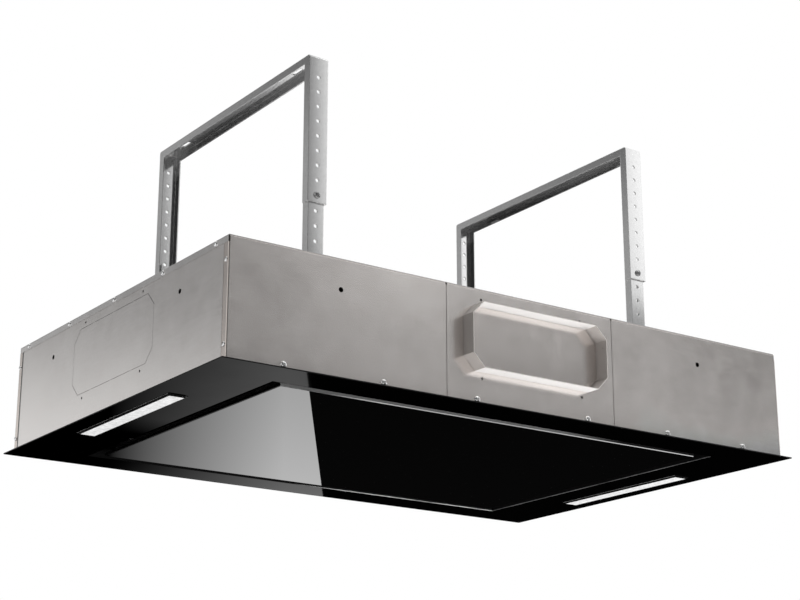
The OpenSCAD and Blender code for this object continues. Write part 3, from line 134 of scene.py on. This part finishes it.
class Material:
    """A node material built round one Principled shader, in the piece's own coordinates."""

    def __init__(self, name, **constants):
        self.data = bpy.data.materials.new(name)
        self.data.use_nodes = True
        self.tree = self.data.node_tree
        self.shader = self.tree.nodes["Principled BSDF"]
        self.coords = self.put("ShaderNodeTexCoord")
        for socket, value in constants.items():
            self.shader.inputs[socket.replace("_", " ")].default_value = value

    def put(self, kind, inputs=None, **settings):
        return add_node(self.tree, kind, inputs, **settings)

    def link(self, output, socket):
        self.tree.links.new(output, self.shader.inputs[socket])

    def noise(self, scale, detail=2.0, roughness=0.5, stretch=(1, 1, 1)):
        mapping = self.put("ShaderNodeMapping", {"Vector": self.coords.outputs["Object"], "Scale": stretch})
        node = self.put("ShaderNodeTexNoise", {"Vector": mapping.outputs["Vector"], "Scale": scale,
                                               "Detail": detail, "Roughness": roughness})
        return node.outputs["Fac"]

    def cells(self, scale):
        """The distance to the nearest of the points that are strewn over the piece."""
        node = self.put("ShaderNodeTexVoronoi", {"Vector": self.coords.outputs["Object"], "Scale": scale})
        return node.outputs["Distance"]

    def bricks(self, scale, joint, first, second, mortar):
        return self.put("ShaderNodeTexBrick", {"Vector": self.coords.outputs["Object"], "Scale": scale,
                                               "Mortar Size": joint, "Color1": (*first, 1),
                                               "Color2": (*second, 1), "Mortar": (*mortar, 1)})

    def ramp(self, value, stops):
        return add_ramp(self.tree, value, stops)

    def blend(self, value, low, high, start=0.3, end=0.7):
        """Runs from one colour to another while the value runs from start to end."""
        return self.ramp(value, ((start, low), (end, high)))

    def spread(self, value, low, high, start=0.3, end=0.7):
        """Runs from low to high while the value runs from start to end."""
        node = self.put("ShaderNodeMapRange", {"Value": value, "From Min": start, "From Max": end,
                                               "To Min": low, "To Max": high})
        return node.outputs["Result"]

    def rise(self, value, start, end):
        return self.spread(value, 0.0, 1.0, start, end)

    def fall(self, value, start, end):
        return self.spread(value, 1.0, 0.0, start, end)

    def mix(self, factor, a, b, mode="MIX"):
        first, second = (side if isinstance(side, bpy.types.NodeSocket) else (*side, 1) for side in (a, b))
        node = self.put("ShaderNodeMix", {0: factor, 6: first, 7: second},
                        data_type="RGBA", blend_type=mode)
        return node.outputs[2]

    def multiply(self, color, other):
        return self.mix(1.0, color, other, "MULTIPLY")

    def shade(self, color, mask, tone):
        """A colour multiplied by a tone where the mask is one."""
        return self.mix(mask, color, self.multiply(color, tone))

    def math(self, operation, a, b=0.0):
        return self.put("ShaderNodeMath", {0: a, 1: b}, operation=operation).outputs["Value"]

    def product(self, first, *others):
        for other in others:
            first = self.math("MULTIPLY", first, other)
        return first

    def place(self, axis):
        """The place on an axis of the piece."""
        return self.put("ShaderNodeSeparateXYZ", {"Vector": self.coords.outputs["Object"]}).outputs[axis]

    def off_middle(self, axis):
        return self.math("ABSOLUTE", self.place(axis))

    def facing(self, axis):
        """How far a face points along an axis of the piece."""
        return self.put("ShaderNodeSeparateXYZ", {"Vector": self.coords.outputs["Normal"]}).outputs[axis]

    def lean(self, axis):
        """How far a face points along an axis of the piece, one way or the other."""
        return self.math("ABSOLUTE", self.facing(axis))

    def band(self, axis, place, half):
        """One near a place on an axis of the piece, falling to nothing at half a band's width."""
        away = self.math("ABSOLUTE", self.math("SUBTRACT", self.place(axis), place))
        return self.fall(away, half * 0.4, half)

    def bump(self, height, distance, strength=1.0, normal=None):
        inputs = {"Height": height, "Distance": distance, "Strength": strength}
        if normal is not None:
            inputs["Normal"] = normal
        return self.put("ShaderNodeBump", inputs).outputs["Normal"]


def gray(value, warm=0.0):
    """A grey, or a warm grey: more red and, by two thirds of that, less blue."""
    return (value * (1 + warm), value, value * (1 - warm * 0.67))


def lines_along(axis, along, across):
    """The stretch that draws a noise out into lines along an axis."""
    return tuple(along if name == axis else across for name in "xyz")


def sheet_metal(name, tone, grain, warm=0.05, rough=0.22, blotch=0.06, metallic=0.95,
                scratch=0.35, relief=0.25, shaded_faces=(), foot=0.0, joint_shades=()):
    """Matt steel sheet: soft blotches, faint rolling lines along the grain and a slightly wavy face.

    Seams are (axis, place, half width) of dark bands of painted shade along the joints, in the piece's own
    coordinates.
    The (axis, tone) pairs for faces paint shade on faces across an axis, and the foot strength paints light
    on the sheet's foot and shade on its top, both growing towards its right end.
    """
    joint_shade_tone = 0.12
    face_shade_warm = 0.04
    face_shade_range = (0.05, 0.35)
    foot_light_start = -0.05
    m = Material(name, Metallic=metallic)
    clouds = m.noise(7, detail=3, roughness=0.55)
    patches = m.noise(34, detail=4, roughness=0.6)
    lines = m.noise(9, detail=3, roughness=0.6, stretch=lines_along(grain, 3, 90))
    grit = m.noise(900)
    base = m.blend(clouds, gray(tone * (1 - blotch), warm), gray(tone * (1 + blotch), warm))
    base = m.mix(0.5, base, m.blend(patches, gray(0.44), gray(0.56), end=0.72), "OVERLAY")
    base = m.mix(scratch, base, m.blend(lines, gray(0.42), gray(0.58)), "OVERLAY")
    # Painted shade: a dark band along each joint, for the shade in the gap between the parts.
    for axis, place, half in joint_shades:
        base = m.mix(m.band(axis, place, half), base, gray(joint_shade_tone, warm))
    # Painted shade: faces across an axis are darkened by their tone.
    for axis, level in shaded_faces:
        base = m.shade(base, m.rise(m.lean(axis), *face_shade_range), gray(level, face_shade_warm))
    # Painted light and shade: lighter towards the foot, darker towards the top, both growing towards the
    # right end.
    if foot:
        down = m.spread(m.place("Z"), foot, -foot, panel_low.z, panel_high.z)
        right = m.rise(m.place("X"), foot_light_start, panel_high.x)
        base = m.multiply(base, m.math("ADD", 1.0, m.product(down, right)))
    m.link(base, "Base Color")
    uneven = 0.03
    rub = 0.06 * scratch
    roughness = m.math("ADD", m.spread(patches, rough - uneven, rough + uneven), m.spread(lines, -rub, rub))
    m.link(roughness, "Roughness")
    waves = m.bump(m.noise(5, detail=1), distance=0.004, strength=0.35)
    fine = m.math("ADD", m.product(grit, 0.5), lines)
    m.link(m.bump(fine, distance=0.00006, strength=relief, normal=waves), "Normal")
    return m.data


def plated(name, tone, rough, grain, mottle, edge=0.0):
    """Plated steel without its colour, which is returned beside it. Edge is the radius of rounded edges."""
    m = Material(name, Metallic=0.95)
    uneven = 0.03
    lines = m.noise(12, detail=3, roughness=0.6, stretch=lines_along(grain, 4, 120))
    spangle = m.spread(m.cells(160.0), 0.0, 1.0, 0.0, 0.7)
    base = m.blend(spangle, gray(tone * 0.97), gray(tone * 1.03), 0.0, 1.0)
    base = m.mix(mottle, base, m.blend(lines, gray(0.4), gray(0.6)), "OVERLAY")
    m.link(m.spread(lines, rough - uneven, rough + uneven), "Roughness")
    rounded = m.put("ShaderNodeBevel", {"Radius": edge}).outputs["Normal"] if edge else None
    m.link(m.bump(lines, distance=0.00002, strength=0.1, normal=rounded), "Normal")
    return m, base


def plated_steel(name, tone, rough=0.16, grain="z", mottle=0.2):
    """Zinc-plated steel: brighter, with short drawing lines and a fine spangle."""
    m, base = plated(name, tone, rough, grain, mottle)
    m.link(base, "Base Color")
    return m.data


def bracket_steel(name, inner_shade, left_shade):
    """Plated steel of a bracket.

    Inner shade scales the tone of its inner faces and of its beam's underside, as painted shade, and left
    shade that of the left edge of its legs' faces, also painted shade.
    """
    underside = 2.8
    facing_away = (-0.7, -0.3)
    right_start, right_end = 0.002, 0.006
    beam_start, beam_end = -0.1, -0.05
    m, base = plated(name, tone=0.88, rough=0.13, grain="z", mottle=0.08, edge=0.0012)
    middle = m.product(m.math("SIGN", m.place("X")), BRACKET_X)
    across = m.math("SUBTRACT", m.place("X"), middle)
    right_half = m.rise(across, right_start, right_end)
    shaded_inner_side = m.product(m.fall(m.facing("X"), *facing_away), right_half)
    in_beam = m.rise(m.place("Z"), beam_start, beam_end)
    shaded_underside = m.product(m.fall(m.facing("Z"), *facing_away), in_beam)
    # Painted shade on the inner faces, and a lighter painted shade under the beam.
    base = m.shade(base, shaded_inner_side, gray(inner_shade))
    base = m.shade(base, shaded_underside, gray(inner_shade * underside))
    # Painted shade along the left edge of the legs' faces.
    left_edge_shade = m.spread(across, left_shade, 1.0, -BRACKET_HALF, BRACKET_HALF * 0.8)
    base = m.shade(base, m.rise(m.lean("Y"), 0.3, 0.7), left_edge_shade)
    m.link(base, "Base Color")
    return m.data


def black_paint():
    """Black powder paint: a dim mirror on the flat, weakened towards the back by painted shade, black in the
    slots as painted shade, a painted highlight on the rolled edge.
    """
    highlight_height = 0.0012
    highlight_range = (-0.02, 0.08)
    frame_width_x, frame_width_y = 0.06, 0.03
    soft = 0.005
    reflectance = 0.45
    back_range = (0.0, 0.1)
    back_shade_levels = ((0.15, 0.55), (0.23, 0.71), (0.34, 0.85), (0.57, 0.95))
    m = Material("black_paint")
    peel = m.noise(420)
    cloud = m.noise(12, detail=3)
    highlight_mottle = m.noise(25, detail=3, roughness=0.6)
    # Upright faces are painted black: painted shade in the slots and on the outer edge.
    upright = m.fall(m.lean("Z"), 0.4, 0.6)
    # Mask of the painted highlight: the low edge of the opening's lip, on its right part.
    low = m.fall(m.place("Z"), TRIM_Z + highlight_height * 0.7, TRIM_Z + highlight_height)
    inner_x = m.fall(m.off_middle("X"), trim_high.x - frame_width_x, trim_high.x - frame_width_x + soft)
    inner_y = m.fall(m.off_middle("Y"), trim_high.y - frame_width_y, trim_high.y - frame_width_y + soft)
    lit = m.rise(m.place("X"), *highlight_range)
    rim = m.product(upright, low, inner_x, inner_y, lit)
    # Painted shade: the flat's colour and reflection are weakened over the back part, most towards the left.
    along = m.rise(m.place("X"), trim_low.x, trim_high.x)
    back_shade = m.ramp(along, [(place, gray(tone)) for place, tone in back_shade_levels])
    level = m.mix(m.rise(m.place("Y"), *back_range), gray(1.0), back_shade)
    flat = m.multiply(m.blend(cloud, gray(0.031), gray(0.041)), level)
    rim_highlight = m.blend(highlight_mottle, gray(0.25), gray(0.6), 0.35, 0.65)
    m.link(m.multiply(gray(reflectance), level), "Specular Tint")
    m.link(m.mix(rim, m.mix(upright, flat, gray(0.002)), rim_highlight), "Base Color")
    m.link(m.math("SUBTRACT", 1.0, upright), "Metallic")
    m.link(m.math("ADD", m.spread(cloud, 0.03, 0.05), m.product(upright, 0.6)), "Roughness")
    m.link(m.bump(peel, distance=0.00001, strength=0.08), "Normal")
    return m.data


def black_glass():
    """Black toughened glass: mirror smooth faces, a polished bevel in front that is a bright mirror as
    painted highlight, darkened towards the left by painted shade, and ground vertical edges, the front one
    with painted light.
    """
    bevel_shade_range = (-0.27, -0.2)
    front_light_range = (0.1, 0.2)
    m = Material("black_glass", IOR=1.52)
    dust = m.noise(1400)
    ground = m.noise(2600, detail=3, roughness=0.7)
    flat = m.lean("Z")
    edge = m.fall(flat, 0.85, 0.98)
    front = m.fall(m.facing("Y"), -0.6, -0.3)
    bevel = m.product(edge, front, m.rise(flat, 0.4, 0.6))
    # Painted shade on the bevel towards the left, and painted light on the front edge, fading out right of
    # the middle.
    dim = m.spread(m.place("X"), 0.12, 1.0, *bevel_shade_range)
    lit = m.product(front, m.spread(m.place("X"), 1.0, 0.05, *front_light_range))
    face = m.blend(dust, gray(0.00002), gray(0.00005), 0.35, 0.75)
    rim = m.mix(lit, gray(0.002), m.blend(ground, gray(0.08), gray(0.12)))
    # The bevel's bright mirror colour is a painted highlight.
    polished = m.multiply(m.blend(ground, gray(0.75), gray(0.9)), dim)
    m.link(m.mix(bevel, m.mix(edge, face, rim), polished), "Base Color")
    m.link(bevel, "Metallic")
    m.link(m.math("ADD", m.product(edge, 0.1), m.spread(dust, 0.007, 0.009)), "Roughness")
    m.link(m.bump(m.product(ground, edge), distance=0.00004, strength=0.4), "Normal")
    return m.data


def moulded(name, tone, rough=0.45):
    """Moulded plastic or paint: fine pebble texture and slight unevenness of sheen."""
    m = Material(name)
    m.link(m.blend(m.noise(60, detail=3), gray(tone), gray(tone * 1.18 + 0.004), 0.35), "Base Color")
    m.link(m.spread(m.noise(140), rough - 0.06, rough + 0.08), "Roughness")
    m.link(m.bump(m.noise(900), distance=0.00005, strength=0.35), "Normal")
    return m.data


def bezel_plastic():
    """Gloss black plastic with a painted highlight along its outer edge."""
    highlight_half = 0.0006
    m = Material("bezel_plastic", Roughness=0.25)
    mottle = m.noise(90, detail=3)
    # Painted highlight on the outer edge, where it faces left at the trim's level.
    edge = m.product(m.fall(m.facing("X"), -0.9, -0.6), m.band("Z", TRIM_Z, highlight_half))
    black = m.blend(mottle, gray(0.002), gray(0.004), 0.35)
    bright = m.blend(mottle, gray(0.6), gray(0.9), 0.35)
    m.link(m.mix(edge, black, bright), "Base Color")
    m.link(m.spread(m.facing("Z"), 0.05, 0.5, -0.8, -0.2), "Specular IOR Level")
    m.link(m.bump(m.noise(900), distance=0.00003, strength=0.2), "Normal")
    return m.data


def opal():
    """Opal diffuser, softly lit from behind, with the fine flecks of its prismatic surface."""
    m = Material("opal", Emission_Strength=0.8, Roughness=0.5)
    flecks = m.cells(420.0)
    fleck = m.blend(flecks, gray(0.93), gray(0.74), 0.1, 0.55)
    cloud = m.blend(m.noise(160, detail=3), gray(0.78), gray(0.98), 0.35, 0.65)
    tone = m.multiply(fleck, cloud)
    m.link(m.multiply(tone, gray(0.25)), "Base Color")
    m.link(tone, "Emission Color")
    m.link(m.bump(flecks, distance=0.0002, strength=0.3), "Normal")
    return m.data


def expanded_metal():
    """Aluminium expanded sheet: rows of slanted openings, painted dark as shade, between bright strands."""
    m = Material("expanded_metal", Metallic=1.0)
    # The openings are painted dark: painted shade for the hollow seen through them.
    openings = m.bricks(150.0, 0.035, gray(0.07), gray(0.12), gray(0.8))
    grime = m.blend(m.noise(30, detail=3), gray(0.85), gray(1.0))
    m.link(m.multiply(openings.outputs["Color"], grime), "Base Color")
    m.link(m.spread(openings.outputs["Fac"], 0.75, 0.3, 0.0, 1.0), "Roughness")
    m.link(m.bump(openings.outputs["Fac"], distance=0.0006, strength=0.8), "Normal")
    return m.data


def winding():
    """Varnished copper windings round the stator's core, with painted shade in the gaps between turns."""
    crease_shade, copper = (0.16, 0.06, 0.02), (0.5, 0.22, 0.08)
    m = Material("winding", Metallic=0.6, Roughness=0.38, Coat_Weight=0.4)
    inputs = {"Vector": m.coords.outputs["Object"], "Scale": 260.0, "Distortion": 1.2}
    wave = m.put("ShaderNodeTexWave", inputs, bands_direction="Z").outputs["Fac"]
    # Painted shade in the creases between the turns.
    m.link(m.blend(wave, crease_shade, copper, 0.2, 0.8), "Base Color")
    m.link(m.bump(wave, distance=0.0003, strength=0.5), "Normal")
    return m.data


def board(name, color):
    """Lacquered circuit board or moulded electrical part with faint tracks."""
    second = [part * 0.8 for part in color]
    track = [min(1, part * 1.5 + 0.02) for part in color]
    m = Material(name, Roughness=0.4)
    m.link(m.bricks(60.0, 0.03, color, second, track).outputs["Color"], "Base Color")
    m.link(m.bump(m.noise(500), distance=0.00005, strength=0.3), "Normal")
    return m.data


def give(material, *names):
    for name in names:
        slots = nodes[name].data.materials
        slots.clear()
        slots.append(material)


def pair(name):
    return name + "_left", name + "_right"


def dress_housing():
    """Finishes of the sheet-metal housing, its screws and the brackets."""
    # Front panels: painted shade on their turned faces and painted light at the foot.
    panel = sheet_metal("front_sheet", 0.86, "x", shaded_faces=(("X", 0.8), ("Z", 0.38)), foot=0.26)
    # The side panels carry a band of painted shade along the seam.
    side = sheet_metal("side_sheet", 0.78, "y", warm=0.035, blotch=0.03, joint_shades=(("Y", SEAM_Y, SEAM_SHADE_HALF),))
    cover = sheet_metal("cover_sheet", 0.78, "x", blotch=0.12, warm=0.02, scratch=0.6)
    # The collar's turned faces carry painted shade.
    collar = sheet_metal("collar_sheet", 0.82, "y", warm=0.025, rough=0.3, blotch=0.01, metallic=0.4,
                         scratch=0.0, relief=0.0, shaded_faces=(("X", 0.75), ("Y", 0.55)))
    flap = sheet_metal("flap_sheet", 0.8, "z", warm=0.055, rough=0.22, blotch=0.02, scratch=0.2, relief=0.0)
    give(panel, "front_panel_left", "front_panel_center", "front_panel_right", "back_panel")
    give(side, "left_panel", "right_panel")
    give(cover, "top_cover", "cover_rails")
    give(collar, "outlet_collar")
    give(flap, "backdraft_flap")
    # Each bracket gets two tones of painted shade: for its inner faces and for the left edge of its legs.
    for name, inner_shade, left_shade in (("left", 0.35, 0.52), ("right", 0.28, 0.85)):
        steel = bracket_steel("bracket_steel_" + name, inner_shade, left_shade)
        give(steel, "upper_bracket_" + name, "lower_bracket_" + name)
    give(plated_steel("screw_zinc", 0.95, rough=0.05, mottle=0.4), "frame_screws", "cover_screws",
         "bracket_bolts", "motor_screws", "damper_studs", "damper_nuts")
    give(plated_steel("screw_dark", 0.45, rough=0.1), "lock_screws")


def dress_underside():
    """Finishes of the trim, the glass door and the lights."""
    give(black_paint(), "trim_frame")
    give(moulded("tray_paint", 0.003, rough=0.5), "panel_tray")
    give(black_glass(), "glass_panel")
    give(bezel_plastic(), *pair("light_housing"))
    give(opal(), *pair("diffuser"))
    give(plated_steel("hinge_steel", 0.6), "hinge_brackets", "hinge_arms", "catch_strikes")


def dress_inside():
    """Finishes of the filters, the blower and the electrical parts."""
    give(moulded("carrier_paint", 0.003, rough=0.5), "carrier_plate", "filter_rails")
    give(moulded("black_plastic", 0.03), "catch_magnets", *pair("filter_latch"), "cable_gland")
    give(plated_steel("filter_aluminium", 0.78, rough=0.28, grain="y"), *pair("filter_frame"))
    give(expanded_metal(), *pair("filter_mesh"))
    give(sheet_metal("inner_sheet", 0.6, "x", rough=0.36, metallic=0.8), "volute_base", "volute_wall",
         "volute_top", "control_box", "control_box_lid")
    give(plated_steel("ground_steel", 0.72, rough=0.18), "hinge_pins", "flap_axle", "motor_shaft",
         "motor_bearings")
    give(moulded("fan_plastic", 0.06, rough=0.4), "impeller")
    give(moulded("motor_lacquer", 0.025, rough=0.3), "motor_rotor")
    give(winding(), "motor_stator")
    give(moulded("damper_rubber", 0.02, rough=0.7), "blower_dampers")
    give(moulded("bush_plastic", 0.75, rough=0.4), "flap_bushes")
    give(board("board_white", (0.8, 0.8, 0.77)), *pair("light_board"), "light_driver", "terminal_block")
    give(board("board_green", (0.05, 0.24, 0.12)), "control_board")


def make_camera():
    data = bpy.data.cameras.new("camera")
    data.sensor_width = SENSOR
    data.lens = FOCAL_PX / IMAGE_WIDTH * SENSOR
    data.clip_end = CLIP_END
    camera = bpy.data.objects.new("camera", data)
    camera.location = CAMERA_AT
    camera.rotation_euler = (math.pi / 2 + ELEVATION, 0, -AZIMUTH)
    scene.collection.objects.link(camera)
    scene.camera = camera


def flat_piece(name, corners, material):
    """A flat piece of the stage, from its four corners in order."""
    mesh = bpy.data.meshes.new(name)
    mesh.from_pydata([tuple(corner) for corner in corners], [], [(0, 1, 2, 3)])
    mesh.materials.append(material)
    obj = bpy.data.objects.new(name, mesh)
    scene.collection.objects.link(obj)
    return obj


def card(name, corners, material):
    """A card seen only by glossy rays."""
    obj = flat_piece(name, corners, material)
    obj.visible_camera = False
    obj.visible_diffuse = False
    obj.visible_shadow = False
    obj.visible_transmission = False


def floor_material():
    """Pale floor, clear from below so that the underside can be seen through it."""
    m = Material("floor", Roughness=0.8)
    m.link(m.blend(m.noise(3, detail=3), gray(0.80), gray(0.84)), "Base Color")
    m.link(m.bump(m.noise(60), distance=0.0005, strength=0.1), "Normal")
    clear = m.put("ShaderNodeBsdfTransparent")
    side = m.put("ShaderNodeNewGeometry")
    seen = m.put("ShaderNodeMixShader", {0: side.outputs["Backfacing"], 1: m.shader.outputs[0],
                                         2: clear.outputs[0]})
    m.tree.links.new(seen.outputs[0], m.tree.nodes["Material Output"].inputs["Surface"])
    return m.data


def glow(name, strength, axis=None, tones=()):
    """Emission for a card, either even or with (place, tone) along an axis."""
    material = bpy.data.materials.new(name)
    material.use_nodes = True
    tree = material.node_tree
    tree.nodes.clear()
    emission = add_node(tree, "ShaderNodeEmission", {"Strength": strength})
    add_node(tree, "ShaderNodeOutputMaterial", {"Surface": emission.outputs[0]})
    if axis:
        low, high = tones[0][0], tones[-1][0]
        at = add_node(tree, "ShaderNodeTexCoord").outputs["Object"]
        along = add_node(tree, "ShaderNodeVectorMath", {0: at, 1: axis}, operation="DOT_PRODUCT")
        reach = add_node(tree, "ShaderNodeMapRange", {"Value": along.outputs["Value"], "From Min": low,
                                                      "From Max": high})
        stops = [((place - low) / (high - low), gray(tone)) for place, tone in tones]
        tree.links.new(add_ramp(tree, reach.outputs["Result"], stops), emission.inputs["Color"])
    return material


def make_cards():
    """Behind the hood: a bright and a dark card that meet along the line mirrored in the glass."""
    across = Vector((HEADING.y, -HEADING.x, 0))
    mirrored_eye = Vector((CAMERA_AT.x, CAMERA_AT.y, 2 * TRIM_Z - CAMERA_AT.z))
    near, far = (Vector((*point, TRIM_Z)) for point in (BORDER_NEAR, BORDER_FAR))
    normal = (near - mirrored_eye).cross(far - mirrored_eye)
    bright = glow("card_light", BRIGHT_LIGHT, tuple(across), BRIGHT_TONES)
    dark = glow("card_dark", DARK_LIGHT)
    foot = HEADING * CARD_DISTANCE
    halves = (("bright_card", -1, BRIGHT_HIGH, bright), ("dark_card", 1, DARK_HIGH, dark))
    for name, side, top, material in halves:
        inner = []
        for height in (CARD_LOW, top):
            start = foot + Vector((0, 0, height))
            inner.append(start - across * ((start - mirrored_eye).dot(normal) / across.dot(normal)))
        low, high = inner
        out = across * (side * CARD_SPAN)
        card(name, (low, low + out, high + out, high), material)
    back = HEADING * FAR_DISTANCE
    wide = across * FAR_HALF_WIDTH
    drop, rise = Vector((0, 0, FLOOR_Z)), Vector((0, 0, FAR_HIGH))
    card("far_card", (back - wide + drop, back + wide + drop, back + wide + rise, back - wide + rise),
         glow("card_far", FAR_LIGHT))


def flag(name, target, direction, low, high, tones, upright=False):
    """A card that faces the target; its tone runs from left to right, or from low to high.

    Low and high are heights on the card at its left and right edge.
    """
    right = Vector((0, 0, 1)).cross(direction).normalized()
    up = direction.cross(right)
    at = target + direction * FLAG_DISTANCE
    axis = up if upright else right
    places = [(at.dot(axis) + place, tone) for place, tone in tones]
    left, right_edge = at - right * FLAG_HALF_WIDTH, at + right * FLAG_HALF_WIDTH
    corners = (left + up * low[0], right_edge + up * low[1], right_edge + up * high[1], left + up * high[0])
    card(name, corners, glow(name, 1.0, tuple(axis), places))


def both_edges(height):
    return height, height


def make_flags():
    """Grey flags where the metal throws the camera's view, in place of the white room."""
    front_way = Vector((VIEW.x, -VIEW.y, VIEW.z))
    side_way = Vector((-VIEW.x, VIEW.y, VIEW.z))
    corner_way = Vector((-VIEW.x, -VIEW.y, VIEW.z))
    bevel_way = Vector((VIEW.x, -VIEW.z, -VIEW.y))
    bottom, top, corner_top = both_edges(-FLAG_REACH), both_edges(FLAG_REACH), both_edges(CORNER_TOP)
    floor_low, floor_high = both_edges(-FLOOR_REACH), both_edges(FLOOR_REACH)
    flag("front_flag", FRONT_TARGET, front_way, bottom, PANEL_TOP, FRONT_TONES)
    flag("leg_flag", FRONT_TARGET, front_way, PANEL_TOP, top, LEG_TONES)
    flag("side_flag", SIDE_TARGET, side_way, both_edges(SIDE_LOW), top, SIDE_TONES, upright=True)
    flag("near_flag", CORNER_TARGET, corner_way, corner_top, top, NEAR_TONES)
    flag("corner_flag", CORNER_TARGET, corner_way, bottom, corner_top, CORNER_TONES)
    flag("floor_flag", BEVEL_TARGET, bevel_way, floor_low, floor_high, FLOOR_TONES)


def area_light(name, at, target, size, watts, glossy):
    data = bpy.data.lights.new(name, "AREA")
    data.shape = "RECTANGLE"
    data.size, data.size_y = size
    data.energy = watts
    light = bpy.data.objects.new(name, data)
    light.location = at
    light.rotation_euler = (Vector(target) - Vector(at)).to_track_quat("-Z", "Y").to_euler()
    light.visible_camera = False
    light.visible_glossy = glossy
    scene.collection.objects.link(light)


def make_world():
    """White to the camera and in glossy pieces; the light on the object is softer, from the right."""
    world = bpy.data.worlds.new("studio")
    scene.world = world
    world.use_nodes = True
    tree = world.node_tree
    tree.nodes.clear()
    way = add_node(tree, "ShaderNodeTexCoord").outputs["Generated"]
    sideways = add_node(tree, "ShaderNodeSeparateXYZ", {0: way}).outputs["X"]
    strength = add_node(tree, "ShaderNodeMapRange", {"Value": sideways, "From Min": -WORLD_TURN,
                                                     "From Max": WORLD_TURN, "To Min": WORLD_LEFT,
                                                     "To Max": WORLD_RIGHT}).outputs["Result"]
    lit = add_node(tree, "ShaderNodeBackground", {"Color": WHITE, "Strength": strength})
    seen = add_node(tree, "ShaderNodeBackground", {"Color": WHITE, "Strength": 1.0})
    path = add_node(tree, "ShaderNodeLightPath").outputs
    glossy = add_node(tree, "ShaderNodeMath", {0: path["Is Camera Ray"], 1: path["Is Glossy Ray"]},
                      operation="MAXIMUM").outputs[0]
    clear = add_node(tree, "ShaderNodeMath", {0: glossy, 1: path["Is Transmission Ray"]},
                     operation="MAXIMUM").outputs[0]
    mix = add_node(tree, "ShaderNodeMixShader", {0: clear, 1: lit.outputs[0], 2: seen.outputs[0]})
    add_node(tree, "ShaderNodeOutputWorld", {"Surface": mix.outputs[0]})


def make_stage():
    half = FLOOR_SIZE / 2
    corners = [(x * half, y * half, FLOOR_Z) for x, y in ((-1, -1), (1, -1), (1, 1), (-1, 1))]
    flat_piece("floor", corners, floor_material())
    for lamp in LAMPS:
        area_light(**lamp)


make_camera()
dress_housing()
dress_underside()
dress_inside()
make_world()
make_stage()
make_cards()
make_flags()
scene.view_settings.view_transform = "Standard"
